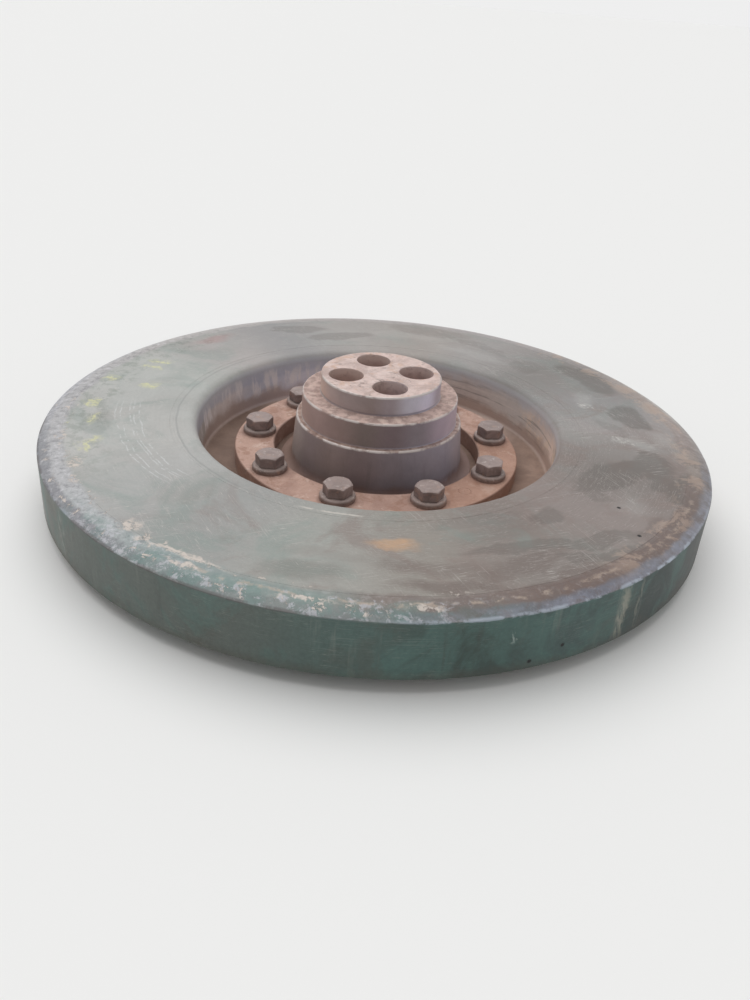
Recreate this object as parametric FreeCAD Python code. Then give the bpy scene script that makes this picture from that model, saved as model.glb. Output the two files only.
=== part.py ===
"""Viscous torsional vibration damper of a large engine, with its flanged stub hub bolted in.

Millimetres. The origin lies on the axis, in the plane of the hub's mounting face, and +Z points
along the axis to the end of the stub. Angles are measured from +X, counter-clockwise seen from +Z.
A closed annular casing holds a loose inertia ring in silicone fluid. The ring floats on a bush and
two thrust rings, and turns freely about the axis inside the casing.
"""

import FreeCAD
import Part
import math
import os

# Driving dimensions: the casing
CASING_RADIUS = 470.0
CASING_BACK = 8.0
CASING_FRONT = 107.0
SIDE_BOTTOM = 20.0
SIDE_TOP = 94.5
FACE_CONE = 1.6
SHOULDER_SLOPE = 31.0
SHOULDER_ROUNDING = 54.0
LIP_RADIUS = 260.0
LIP_ROUNDING = 14.0
RECESS_RADIUS = 254.0
RECESS_FILLET = 6.0
BACK_RECESS_RADIUS = 226.0
WEB_BACK = 24.0
WEB_FRONT = 38.0

# The trough in the casing, and the cover let into its mouth
TROUGH_INNER_RADIUS = 302.0
TROUGH_OUTER_RADIUS = 430.0
TROUGH_FLOOR = 22.0
TROUGH_FILLET = 3.0
COVER_INNER_RADIUS = 294.0
COVER_OUTER_RADIUS = 438.0
COVER_THICKNESS = 12.0
WELD_HALF_WIDTH = 2.5
WELD_DEPTH = 3.5

# The floating inertia ring and its bearings
FLUID_GAP = 0.8
BEARING_GAP = 0.3
BUSH_THICKNESS = 7.7
BUSH_SETBACK = 3.0
THRUST_INNER_RADIUS = 336.0
THRUST_OUTER_RADIUS = 372.0
THRUST_THICKNESS = 4.5
RING_CHAMFER = 2.5

# The hub
FLANGE_RADIUS = 207.0
REGISTER_RADIUS = 141.0
REGISTER_TOP = 40.0
BODY_FOOT_RADIUS = 126.0
BODY_FILLET = 15.0
BODY_TOP_RADIUS = 119.3
BODY_TOP = 110.5
TIER_RADIUS = 111.5
TIER_TOP = 147.0
BOSS_RADIUS = 85.5
BOSS_TOP = 174.0
STEP_FILLET = 1.5
EDGE_ROUNDING = 2.5
EDGE_CHAMFER = 2.0

# Holes set out from the index line. But for how far each bolt head turned, all is alike on both sides of it
INDEX_ANGLE = 14.7
SOCKET_COUNT = 4
SOCKET_CIRCLE = 102.5
SOCKET_DIAMETER = 49.0
SOCKET_DEPTH = 60.0
SOCKET_CHAMFER = 1.0
SPIGOT_DIAMETER = 150.0
SPIGOT_DEPTH = 10.0
MOUNT_BOLT_COUNT = 8
MOUNT_BOLT_CIRCLE = 200.0
TAPPED_DIAMETER = 21.0
MOUNT_BOLT_DEPTH = 50.0
DOWEL_ANGLES = (-60.0, 60.0)
PLUG_ANGLES = (-90.0, 90.0)

# The bolted joint between hub, casing and clamp ring
CLAMP_INNER_RADIUS = 150.0
CLAMP_THICKNESS = 25.0
CLAMP_CHAMFER = 1.5
BOLT_COUNT = 9
BOLT_CIRCLE = 352.0
BOLT_DIAMETER = 24.0
BOLT_THREAD_GAP = 0.1
BOLT_HOLE_DIAMETER = 26.0
BOLT_END = 3.0
HEAD_ACROSS_FLATS = 36.0
HEAD_HEIGHT = 15.5
HEAD_CHAMFER_ANGLE = 30.0
WASHER_DIAMETER = 48.6
WASHER_THICKNESS = 8.0
WASHER_ROUNDING = 3.0
HEAD_TURNS = (53.0, 12.0, 31.0, 51.0, 20.0, 24.0, 40.0, 8.0, 45.0)
DOWEL_DIAMETER = 18.0
DOWEL_END = 2.0
DOWEL_CHAMFER = 1.0

# The fluid filling plugs in the trough's floor
PLUG_CIRCLE = 734.0
PLUG_HEAD_DIAMETER = 25.0
PLUG_POCKET_DIAMETER = 28.0
PLUG_POCKET_DEPTH = 5.5
PLUG_HEAD_HEIGHT = 3.6
PLUG_THREAD_DIAMETER = 16.0
PLUG_LENGTH = 8.0
PLUG_KEY_ACROSS_FLATS = 8.0
PLUG_KEY_DEPTH = 6.0
SEAL_DIAMETER = 24.0
SEAL_THICKNESS = 1.5

# Sizes that follow from the driving ones
COVER_BACK = CASING_FRONT - COVER_THICKNESS
CLAMP_TOP = WEB_FRONT + CLAMP_THICKNESS
WASHER_TOP = CLAMP_TOP + WASHER_THICKNESS
HEAD_TOP = WASHER_TOP + HEAD_HEIGHT
RING_BOTTOM = TROUGH_FLOOR + FLUID_GAP
RING_TOP = COVER_BACK - FLUID_GAP
BUSH_RADIUS = TROUGH_INNER_RADIUS + BEARING_GAP
RING_BORE_RADIUS = BUSH_RADIUS + BUSH_THICKNESS
RING_RADIUS = TROUGH_OUTER_RADIUS - FLUID_GAP
PLUG_SEAT = CASING_BACK + PLUG_POCKET_DEPTH

AXIS = FreeCAD.Vector(0, 0, 1)
CENTRE = FreeCAD.Vector(0, 0, 0)


def turned(*corners):
    """Solid of revolution about the axis. A corner is (radius, height) or (radius, height, rounding)."""
    points = [FreeCAD.Vector(corner[0], 0, corner[1]) for corner in corners]
    pieces = []
    for number, corner in enumerate(corners):
        here = points[number]
        if len(corner) == 2:
            pieces.append((here, None, here))
            continue
        rounding = corner[2]
        back = (points[number - 1] - here).normalize()
        ahead = (points[(number + 1) % len(points)] - here).normalize()
        half = back.getAngle(ahead) / 2
        inward = (back + ahead).normalize()
        reach = rounding / math.tan(half)
        middle = here + inward * (rounding / math.sin(half) - rounding)
        pieces.append((here + back * reach, middle, here + ahead * reach))
    edges = []
    for number, (start, middle, end) in enumerate(pieces):
        if middle is not None:
            edges.append(Part.Arc(start, middle, end).toShape())
        following = pieces[(number + 1) % len(pieces)][0]
        edges.append(Part.LineSegment(end, following).toShape())
    return Part.Face(Part.Wire(edges)).revolve(CENTRE, AXIS, 360)


def rod(diameter, bottom, top):
    """Round bar on the axis between two heights."""
    return Part.makeCylinder(diameter / 2, top - bottom, FreeCAD.Vector(0, 0, bottom))


def prism(across_flats, bottom, top):
    """Hexagonal bar on the axis between two heights."""
    corner_radius = across_flats / math.sqrt(3)
    corners = [
        FreeCAD.Vector(
            corner_radius * math.cos(math.radians(60 * step)),
            corner_radius * math.sin(math.radians(60 * step)),
            bottom,
        )
        for step in range(7)
    ]
    return Part.Face(Part.makePolygon(corners)).extrude(FreeCAD.Vector(0, 0, top - bottom))


def flat_ring(inner_radius, outer_radius, bottom, top):
    """Plain flat ring between two heights."""
    return turned(
        (inner_radius, bottom),
        (outer_radius, bottom),
        (outer_radius, top),
        (inner_radius, top),
    )


def at(shape, circle, angle, turn=0.0):
    """The shape turned about its own axis, and moved out to an angle on a circle of that diameter."""
    placed = shape.copy()
    placed.rotate(CENTRE, AXIS, turn)
    placed.translate(FreeCAD.Vector(circle / 2, 0, 0))
    placed.rotate(CENTRE, AXIS, INDEX_ANGLE + angle)
    return placed


def around(shape, circle, count, first=0.0):
    """Copies of the shape evenly spread on a circle."""
    return [at(shape, circle, first + step * 360 / count) for step in range(count)]


def joint_holes(diameter, dowel_diameter, bottom, top):
    """Cutters for the bolts and dowels of the bolted joint."""
    bolts = around(rod(diameter, bottom, top), BOLT_CIRCLE, BOLT_COUNT)
    dowels = [at(rod(dowel_diameter, bottom, top), BOLT_CIRCLE, angle) for angle in DOWEL_ANGLES]
    return bolts + dowels


def face_height(radius):
    """Height of the front face, which falls a little from the cover's inner edge outwards."""
    return CASING_FRONT - (radius - COVER_INNER_RADIUS) * math.tan(math.radians(FACE_CONE))


def shoulder_inset(drop, cone=0.0):
    """How far in a shoulder starts, where its face, carried on at cone degrees, ends drop above it."""
    return drop / (math.tan(math.radians(SHOULDER_SLOPE)) - math.tan(math.radians(cone)))


def casing():
    """The annular trough with its side wall, sloping shoulders, inner lip and bolted web."""
    front_inset = shoulder_inset(face_height(CASING_RADIUS) - SIDE_TOP, FACE_CONE)
    shoulder_radius = CASING_RADIUS - front_inset
    back_inset = shoulder_inset(SIDE_BOTTOM - CASING_BACK)
    body = turned(
        (REGISTER_RADIUS, WEB_BACK),
        (BACK_RECESS_RADIUS, WEB_BACK, RECESS_FILLET),
        (BACK_RECESS_RADIUS, CASING_BACK, EDGE_ROUNDING),
        (CASING_RADIUS - back_inset, CASING_BACK, SHOULDER_ROUNDING),
        (CASING_RADIUS, SIDE_BOTTOM),
        (CASING_RADIUS, SIDE_TOP),
        (shoulder_radius, face_height(shoulder_radius), SHOULDER_ROUNDING),
        (COVER_OUTER_RADIUS + WELD_HALF_WIDTH, face_height(COVER_OUTER_RADIUS + WELD_HALF_WIDTH)),
        (COVER_OUTER_RADIUS, face_height(COVER_OUTER_RADIUS) - WELD_DEPTH),
        (COVER_OUTER_RADIUS, COVER_BACK),
        (TROUGH_OUTER_RADIUS, COVER_BACK),
        (TROUGH_OUTER_RADIUS, TROUGH_FLOOR, TROUGH_FILLET),
        (TROUGH_INNER_RADIUS, TROUGH_FLOOR, TROUGH_FILLET),
        (TROUGH_INNER_RADIUS, COVER_BACK),
        (COVER_INNER_RADIUS, COVER_BACK),
        (COVER_INNER_RADIUS, CASING_FRONT - WELD_DEPTH),
        (COVER_INNER_RADIUS - WELD_HALF_WIDTH, CASING_FRONT),
        (LIP_RADIUS, CASING_FRONT, LIP_ROUNDING),
        (RECESS_RADIUS, WEB_FRONT, RECESS_FILLET),
        (REGISTER_RADIUS, WEB_FRONT),
    )
    holes = joint_holes(BOLT_HOLE_DIAMETER, DOWEL_DIAMETER, WEB_BACK, WEB_FRONT)
    pocket = rod(PLUG_POCKET_DIAMETER, CASING_BACK, PLUG_SEAT)
    thread = rod(PLUG_THREAD_DIAMETER, PLUG_SEAT, TROUGH_FLOOR)
    for angle in PLUG_ANGLES:
        holes.append(at(pocket, PLUG_CIRCLE, angle))
        holes.append(at(thread, PLUG_CIRCLE, angle))
    return body.cut(holes)


def cover_plate():
    """The ring let into the trough's mouth, flat below, slightly coned above, and bevelled for the welds."""
    return turned(
        (COVER_INNER_RADIUS, COVER_BACK),
        (COVER_OUTER_RADIUS, COVER_BACK),
        (COVER_OUTER_RADIUS, face_height(COVER_OUTER_RADIUS) - WELD_DEPTH),
        (COVER_OUTER_RADIUS - WELD_HALF_WIDTH, face_height(COVER_OUTER_RADIUS - WELD_HALF_WIDTH)),
        (COVER_INNER_RADIUS + WELD_HALF_WIDTH, face_height(COVER_INNER_RADIUS + WELD_HALF_WIDTH)),
        (COVER_INNER_RADIUS, CASING_FRONT - WELD_DEPTH),
    )


def cover_weld(radius):
    """The weld that fills the V groove on one edge of the cover, ground flush."""
    outer = radius + WELD_HALF_WIDTH
    inner = radius - WELD_HALF_WIDTH
    return turned(
        (radius, face_height(radius) - WELD_DEPTH),
        (outer, face_height(outer)),
        (inner, min(face_height(inner), CASING_FRONT)),
    )


def inertia_ring():
    """The loose ring in the trough, with a groove in each face for its thrust ring."""
    groove = THRUST_THICKNESS - FLUID_GAP + BEARING_GAP
    body = turned(
        (RING_BORE_RADIUS, RING_BOTTOM),
        (RING_RADIUS - RING_CHAMFER, RING_BOTTOM),
        (RING_RADIUS, RING_BOTTOM + RING_CHAMFER),
        (RING_RADIUS, RING_TOP - RING_CHAMFER),
        (RING_RADIUS - RING_CHAMFER, RING_TOP),
        (RING_BORE_RADIUS, RING_TOP),
    )
    grooves = [
        flat_ring(THRUST_INNER_RADIUS, THRUST_OUTER_RADIUS, RING_BOTTOM, RING_BOTTOM + groove),
        flat_ring(THRUST_INNER_RADIUS, THRUST_OUTER_RADIUS, RING_TOP - groove, RING_TOP),
    ]
    return body.cut(grooves)


def bearing_bush():
    """The bush in the inertia ring's bore, which runs on the trough's inner wall."""
    return flat_ring(BUSH_RADIUS, RING_BORE_RADIUS, RING_BOTTOM + BUSH_SETBACK, RING_TOP - BUSH_SETBACK)


def thrust_ring(bottom):
    """Flat bearing ring that stands proud of the inertia ring's face."""
    return flat_ring(THRUST_INNER_RADIUS, THRUST_OUTER_RADIUS, bottom, bottom + THRUST_THICKNESS)


def hub():
    """The stub: flange, register, conical body, tier and end boss, bored and tapped at both ends."""
    body = turned(
        (0, SPIGOT_DEPTH),
        (SPIGOT_DIAMETER / 2, SPIGOT_DEPTH),
        (SPIGOT_DIAMETER / 2, 0),
        (FLANGE_RADIUS - EDGE_CHAMFER, 0),
        (FLANGE_RADIUS, EDGE_CHAMFER),
        (FLANGE_RADIUS, WEB_BACK),
        (REGISTER_RADIUS, WEB_BACK),
        (REGISTER_RADIUS, REGISTER_TOP),
        (BODY_FOOT_RADIUS, REGISTER_TOP, BODY_FILLET),
        (BODY_TOP_RADIUS, BODY_TOP, EDGE_ROUNDING),
        (TIER_RADIUS, BODY_TOP, STEP_FILLET),
        (TIER_RADIUS, TIER_TOP, EDGE_ROUNDING),
        (BOSS_RADIUS, TIER_TOP, STEP_FILLET),
        (BOSS_RADIUS, BOSS_TOP - EDGE_CHAMFER),
        (BOSS_RADIUS - EDGE_CHAMFER, BOSS_TOP),
        (0, BOSS_TOP),
    )
    socket_radius = SOCKET_DIAMETER / 2
    socket = turned(
        (0, BOSS_TOP - SOCKET_DEPTH),
        (socket_radius, BOSS_TOP - SOCKET_DEPTH),
        (socket_radius, BOSS_TOP - SOCKET_CHAMFER),
        (socket_radius + SOCKET_CHAMFER, BOSS_TOP),
        (0, BOSS_TOP),
    )
    tapped = rod(TAPPED_DIAMETER, 0, MOUNT_BOLT_DEPTH)
    half_step = 180 / MOUNT_BOLT_COUNT
    cutters = around(socket, SOCKET_CIRCLE, SOCKET_COUNT)
    cutters += around(tapped, MOUNT_BOLT_CIRCLE, MOUNT_BOLT_COUNT, half_step)
    cutters += joint_holes(BOLT_DIAMETER, DOWEL_DIAMETER, 0, WEB_BACK)
    return body.cut(cutters)


def clamp_ring():
    """The thick ring that spreads the bolts' load on the web."""
    body = turned(
        (CLAMP_INNER_RADIUS, WEB_FRONT),
        (FLANGE_RADIUS, WEB_FRONT),
        (FLANGE_RADIUS, CLAMP_TOP - CLAMP_CHAMFER),
        (FLANGE_RADIUS - CLAMP_CHAMFER, CLAMP_TOP),
        (CLAMP_INNER_RADIUS + CLAMP_CHAMFER, CLAMP_TOP),
        (CLAMP_INNER_RADIUS, CLAMP_TOP - CLAMP_CHAMFER),
    )
    return body.cut(joint_holes(BOLT_HOLE_DIAMETER, DOWEL_DIAMETER, WEB_FRONT, CLAMP_TOP))


def flange_bolt():
    """Hex bolt on the axis: chamfered head on the washer's height, and shank down through the flange."""
    flat_radius = HEAD_ACROSS_FLATS / 2
    corner_radius = HEAD_ACROSS_FLATS / math.sqrt(3)
    fall = (corner_radius - flat_radius) * math.tan(math.radians(HEAD_CHAMFER_ANGLE))
    envelope = turned(
        (0, WASHER_TOP),
        (corner_radius, WASHER_TOP),
        (corner_radius, HEAD_TOP - fall),
        (flat_radius, HEAD_TOP),
        (0, HEAD_TOP),
    )
    head = prism(HEAD_ACROSS_FLATS, WASHER_TOP, HEAD_TOP).common(envelope)
    shank_radius = BOLT_DIAMETER / 2 - BOLT_THREAD_GAP
    shank = turned(
        (0, BOLT_END),
        (shank_radius - EDGE_CHAMFER, BOLT_END),
        (shank_radius, BOLT_END + EDGE_CHAMFER),
        (shank_radius, WASHER_TOP),
        (0, WASHER_TOP),
    )
    return head.fuse(shank).removeSplitter()


def bolt_washer():
    """Thick washer with a rounded upper edge, on the axis at the clamp ring's top."""
    return turned(
        (BOLT_HOLE_DIAMETER / 2, CLAMP_TOP),
        (WASHER_DIAMETER / 2, CLAMP_TOP),
        (WASHER_DIAMETER / 2, WASHER_TOP, WASHER_ROUNDING),
        (BOLT_HOLE_DIAMETER / 2, WASHER_TOP),
    )


def dowel_pin():
    """Straight pin that locates clamp ring, web and flange."""
    radius = DOWEL_DIAMETER / 2
    return turned(
        (0, DOWEL_END),
        (radius - DOWEL_CHAMFER, DOWEL_END),
        (radius, DOWEL_END + DOWEL_CHAMFER),
        (radius, CLAMP_TOP - DOWEL_CHAMFER),
        (radius - DOWEL_CHAMFER, CLAMP_TOP),
        (0, CLAMP_TOP),
    )


def fill_plug():
    """Screw plug with an internal hexagon, head downwards in its pocket."""
    head_top = PLUG_SEAT - SEAL_THICKNESS
    head_bottom = head_top - PLUG_HEAD_HEIGHT
    head = rod(PLUG_HEAD_DIAMETER, head_bottom, head_top)
    thread = rod(PLUG_THREAD_DIAMETER, head_top, PLUG_SEAT + PLUG_LENGTH)
    key = prism(PLUG_KEY_ACROSS_FLATS, head_bottom, head_bottom + PLUG_KEY_DEPTH)
    return head.fuse(thread).removeSplitter().cut(key)


def plug_seal():
    """Flat sealing washer between the plug's head and its seat."""
    return flat_ring(PLUG_THREAD_DIAMETER / 2, SEAL_DIAMETER / 2, PLUG_SEAT - SEAL_THICKNESS, PLUG_SEAT)


def nodes():
    """Every node of the wheel by name."""
    made = {
        "casing": casing(),
        "cover_plate": cover_plate(),
        "cover_weld_inner": cover_weld(COVER_INNER_RADIUS),
        "cover_weld_outer": cover_weld(COVER_OUTER_RADIUS),
        "inertia_ring": inertia_ring(),
        "bearing_bush": bearing_bush(),
        "lower_thrust_ring": thrust_ring(TROUGH_FLOOR + BEARING_GAP),
        "upper_thrust_ring": thrust_ring(COVER_BACK - BEARING_GAP - THRUST_THICKNESS),
        "hub": hub(),
        "clamp_ring": clamp_ring(),
    }
    for number, turn in enumerate(HEAD_TURNS):
        angle = number * 360 / BOLT_COUNT
        made[f"flange_bolt_{number + 1}"] = at(flange_bolt(), BOLT_CIRCLE, angle, turn)
        made[f"bolt_washer_{number + 1}"] = at(bolt_washer(), BOLT_CIRCLE, angle)
    for number, angle in enumerate(DOWEL_ANGLES):
        made[f"dowel_pin_{number + 1}"] = at(dowel_pin(), BOLT_CIRCLE, angle)
    for number, angle in enumerate(PLUG_ANGLES):
        made[f"fill_plug_{number + 1}"] = at(fill_plug(), PLUG_CIRCLE, angle)
        made[f"plug_seal_{number + 1}"] = at(plug_seal(), PLUG_CIRCLE, angle)
    return made


os.makedirs("parts", exist_ok=True)
for name, shape in nodes().items():
    print(f"{name}: valid {shape.isValid()}, solids {len(shape.Solids)}, {shape.Volume / 1000:.1f} cm3")
    shape.exportStep(f"parts/{name}.step")
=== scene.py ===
"""Looks of the viscous vibration damper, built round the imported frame. Metres, +Z up, angles from +X."""

import math

import bmesh
import bpy
import numpy as np
from mathutils import Matrix, Vector, geometry, noise


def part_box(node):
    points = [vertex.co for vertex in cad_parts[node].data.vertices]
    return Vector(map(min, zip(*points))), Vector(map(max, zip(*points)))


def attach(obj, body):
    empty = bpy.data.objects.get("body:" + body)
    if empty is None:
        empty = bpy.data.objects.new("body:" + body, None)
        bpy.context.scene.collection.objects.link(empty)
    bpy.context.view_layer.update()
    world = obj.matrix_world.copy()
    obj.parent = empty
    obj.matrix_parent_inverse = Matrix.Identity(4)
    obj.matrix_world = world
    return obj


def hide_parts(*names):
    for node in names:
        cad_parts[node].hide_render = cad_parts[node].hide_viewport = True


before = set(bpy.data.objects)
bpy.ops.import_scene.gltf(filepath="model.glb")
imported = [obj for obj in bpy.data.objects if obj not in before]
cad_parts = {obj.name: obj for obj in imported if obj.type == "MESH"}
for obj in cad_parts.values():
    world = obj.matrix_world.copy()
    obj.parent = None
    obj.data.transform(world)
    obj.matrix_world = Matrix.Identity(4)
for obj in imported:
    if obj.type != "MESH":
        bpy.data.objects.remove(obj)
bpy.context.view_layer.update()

MM = 0.001

# ---------------------------------------------------------------- sizes read from the frame


def reach(node):
    """(smallest, largest) distance of a CAD node's points from the axis."""
    points = np.array([v.co[:2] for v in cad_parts[node].data.vertices])
    distance = np.hypot(points[:, 0], points[:, 1])
    return float(distance.min()), float(distance.max())


def heights(node):
    """(lowest, highest) height of a CAD node."""
    low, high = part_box(node)
    return low.z, high.z


def place(node):
    """(x, y) of a CAD node's middle."""
    low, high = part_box(node)
    return (low.x + high.x) / 2, (low.y + high.y) / 2


def polar(radius, angle):
    """(x, y) of a place at a distance from the axis."""
    return radius * math.cos(angle), radius * math.sin(angle)


CASING_R = reach("casing")[1]
CASING_BACK, CASING_FRONT = heights("casing")
REGISTER_R = reach("casing")[0]
COVER_IN, COVER_OUT = reach("cover_plate")
COVER_BACK = heights("cover_plate")[0]
RING_IN, RING_OUT = reach("clamp_ring")
WEB_FRONT, CLAMP_TOP = heights("clamp_ring")
WASHER_R = (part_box("bolt_washer_1")[1].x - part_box("bolt_washer_1")[0].x) / 2
WASHER_TOP = heights("bolt_washer_1")[1]
BOLT_END, HEAD_TOP = heights("flange_bolt_1")
HUB_R = reach("hub")[1]
BOSS_TOP = heights("hub")[1]
BEARING_GAP, FLUID_GAP = 0.3 * MM, 0.8 * MM
TROUGH_IN = reach("bearing_bush")[0] - BEARING_GAP
TROUGH_OUT = reach("inertia_ring")[1] + FLUID_GAP
WEB_THICK = 14 * MM
WEB_BACK = WEB_FRONT - WEB_THICK
BOLTS = [place(f"flange_bolt_{n}") for n in range(1, 10)]
DOWELS = [place(f"dowel_pin_{n}") for n in (1, 2)]
PLUGS = [place(f"fill_plug_{n}") for n in (1, 2)]
INDEX = math.atan2(BOLTS[0][1], BOLTS[0][0])

# Sizes of the design that no box gives
LIP_R = 260 * MM
RECESS_R = 254 * MM
BACK_RECESS_R = 226 * MM
SIDE_LOW, SIDE_HIGH = 20 * MM, 94.5 * MM
FACE_CONE, SHOULDER_SLOPE = math.radians(1.6), math.radians(31)
TROUGH_FLOOR = 22 * MM
WELD_HALF, WELD_DEPTH = 2.5 * MM, 3.5 * MM
BOLT_HOLE_R, BOLT_R, DOWEL_R, TAPPED_R = 13 * MM, 12 * MM, 9 * MM, 10.5 * MM
PLUG_POCKET_R, PLUG_SEAT, PLUG_THREAD_R = 14 * MM, 13.5 * MM, 8 * MM
BODY_R, BODY_TOP_R, BODY_TOP = 126 * MM, 119.3 * MM, 110.5 * MM
TIER_R, TIER_TOP = 111.5 * MM, 147 * MM
BOSS_R = 85.5 * MM
SOCKET_R, SOCKET_RING, SOCKET_FLOOR = 24.5 * MM, 51.25 * MM, 114 * MM
SPIGOT_R, SPIGOT_DEPTH = 75 * MM, 10 * MM
SOCKETS = [polar(SOCKET_RING, INDEX + math.radians(90 * k)) for k in range(4)]
MOUNT_RING, MOUNT_DEPTH = 100 * MM, 50 * MM
HEX_FLAT_R = 18 * MM
REGISTER_TOP = 40 * MM
THREAD_PITCH, THREAD_DEPTH = 3 * MM, 0.9 * MM

# Points round a piece, and (scale, seed) of the noise that casing and cover share
WHEEL_COUNT, HUB_COUNT, BOLT_COUNT = 480, 240, 96
FACE_UNEVEN = 14, 2.0
RIM_ROUNDINGS = 2.5  # how far a hole's loop lies outside its wall, in roundings of its mouth

# ---------------------------------------------------------------- mesh tools


def ripple(x, y, z, scale, seed, octaves=4):
    """Smooth noise from -1 to 1 at a point, the same on every run."""
    return noise.fractal(Vector((x * scale + seed, y * scale - seed, z * scale + 2.7 * seed)), 1.0, 2.0, octaves)


def wear_round(angles, seed, chips):
    """How worn an edge is at each angle, from -0.55 where it is still sharp to 1.1 where it is chipped."""
    out = []
    for a in angles:
        x, y = math.cos(a), math.sin(a)
        slow = ripple(x, y, 0, 2.3, seed, 3)
        quick = ripple(x, y, 0, 17, seed + 9, 4)
        chip = max(0.0, ripple(x, y, 0, 26, seed + 31, 3) - 0.28)
        out.append(min(1.1, max(-0.55, 0.45 * slow + 0.3 * quick + chips * chip)))
    return np.array(out)


class Lathe:
    """Rings of points about an axis, from (radius, height, rounding, wear) corners of a half section."""

    def __init__(
        self, corners, count, closed, seed=1.0, step=14 * MM, steps=7, centre=(0, 0), chips=4.0, guard=1.2 * MM
    ):
        """first and last give the first and last ring of each corner. A closed section ends where it starts."""
        self.centre = centre
        self.angles = np.arange(count) * 2 * math.pi / count
        self.rings, self.first, self.last = [], [], []
        full = [tuple(c) + (0,) * (4 - len(c)) for c in corners]
        arcs = []
        for i, (r, z, rounding, wear) in enumerate(full):
            here = np.array([r, z])
            if rounding == 0:
                arcs.append([np.repeat(here[None], count, 0)])
                continue
            back = np.array(full[i - 1][:2]) - here
            ahead = np.array(full[(i + 1) % len(full)][:2]) - here
            back, ahead = back / np.linalg.norm(back), ahead / np.linalg.norm(ahead)
            half = math.acos(np.clip(back @ ahead, -1, 1)) / 2
            inward = (back + ahead) / np.linalg.norm(back + ahead)
            size = np.full(count, rounding)
            if wear:
                size = rounding * (1 + wear * wear_round(self.angles, seed + 5.3 * i, chips))
            middle = inward / math.sin(half)
            start, end = back / math.tan(half) - middle, ahead / math.tan(half) - middle
            turn = math.pi - 2 * half
            arc = []
            for k in range(steps + 1):
                t = k / steps
                swing = (math.sin((1 - t) * turn) * start + math.sin(t * turn) * end) / math.sin(turn)
                arc.append(here + size[:, None] * (middle + swing))
            arcs.append(arc)
        pairs = len(full) if closed else len(full) - 1
        for i, arc in enumerate(arcs):
            self.first.append(len(self.rings))
            self.rings += arc
            self.last.append(len(self.rings) - 1)
            if i < pairs:
                a, b = arc[-1], arcs[(i + 1) % len(arcs)][0]
                length = float(np.linalg.norm(b - a, axis=1).mean())
                edge = min(guard, length / 4)
                if length > 1e-6:
                    inner = max(1, int(round((length - 2 * edge) / step)))
                    cuts = [edge / length + (1 - 2 * edge / length) * k / inner for k in range(inner + 1)]
                    self.rings += [a + (b - a) * c for c in cuts]
        self.rings = np.array(self.rings)

    def points(self):
        r, z = self.rings[..., 0], self.rings[..., 1]
        x = self.centre[0] + r * np.cos(self.angles)
        y = self.centre[1] + r * np.sin(self.angles)
        return np.stack([x, y, z], -1)


def uneven(points, closed, depth, scale, seed):
    """Points moved into the solid by a smooth noise of up to depth. Rings run along axis 0."""
    if not np.any(depth):
        return points
    along = np.gradient(points, axis=0)
    if closed:
        along = (np.roll(points, -1, 0) - np.roll(points, 1, 0)) / 2
    round_ = (np.roll(points, -1, 1) - np.roll(points, 1, 1)) / 2
    normal = np.cross(round_, along)
    size = np.linalg.norm(normal, axis=-1, keepdims=True)
    normal = np.where(size > 1e-14, normal / np.maximum(size, 1e-14), 0)
    depth = np.broadcast_to(np.asarray(depth, float).reshape(-1, 1), points.shape[:2])
    moved = points.copy()
    for i, j in zip(*np.nonzero(depth)):
        p = points[i, j]
        moved[i, j] = p - normal[i, j] * depth[i, j] * (0.5 + 0.5 * ripple(*p, scale, seed))
    return moved


def skin(mesh, points, closed, gaps=()):
    """Adds quads between rings to a bmesh. gaps are ring numbers with no quads to the next ring."""
    rings, count = points.shape[:2]
    made = []
    for ring in points:
        if np.hypot(*(ring[:, :2] - ring[:, :2].mean(0)).T).max() < 1e-7:
            made.append([mesh.verts.new(ring[0])] * count)
        else:
            made.append([mesh.verts.new(p) for p in ring])
    for i in range(rings if closed else rings - 1):
        if i in gaps:
            continue
        a, b = made[i], made[(i + 1) % rings]
        for j in range(count):
            k = (j + 1) % count
            corners = []
            for v in (a[j], a[k], b[k], b[j]):
                if v not in corners:
                    corners.append(v)
            if len(corners) > 2:
                mesh.faces.new(corners)


def loop_radius(loop, angle):
    """Distance from the axis of a loop's straight edge at an angle. The loop's points are evenly spaced in angle."""
    place = angle / (2 * math.pi) % 1 * len(loop)
    first = int(place)
    a, b = Vector(loop[first % len(loop)][:2]), Vector(loop[(first + 1) % len(loop)][:2])
    ray = Vector((math.cos(angle), math.sin(angle)))
    edge = b - a
    return (a.x * edge.y - a.y * edge.x) / (ray.x * edge.y - ray.y * edge.x)


def sheet_with_holes(mesh, outer, inner, holes, height):
    """Flat triangulated face between two loops, with round holes, at a height."""
    loops = [outer] + ([inner] if inner is not None else []) + [h[2] for h in holes]
    points, edges = [], []
    for loop in loops:
        start = len(points)
        points += [Vector(p[:2]) for p in loop]
        edges += [(start + i, start + (i + 1) % len(loop)) for i in range(len(loop))]
    places, _, faces, *_ = geometry.delaunay_2d_cdt(points, edges, [], 0, 1e-9)
    verts = [mesh.verts.new((p.x, p.y, height)) for p in places]
    for face in faces:
        middle = sum((places[i] for i in face), Vector((0, 0))) / len(face)
        angle = math.atan2(middle.y, middle.x)
        if middle.length > loop_radius(outer, angle):
            continue
        if inner is not None and middle.length < loop_radius(inner, angle):
            continue
        if any((middle - Vector(c)).length < r * math.cos(math.pi / len(l)) for c, r, l in holes):
            continue
        mesh.faces.new([verts[i] for i in face])


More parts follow.
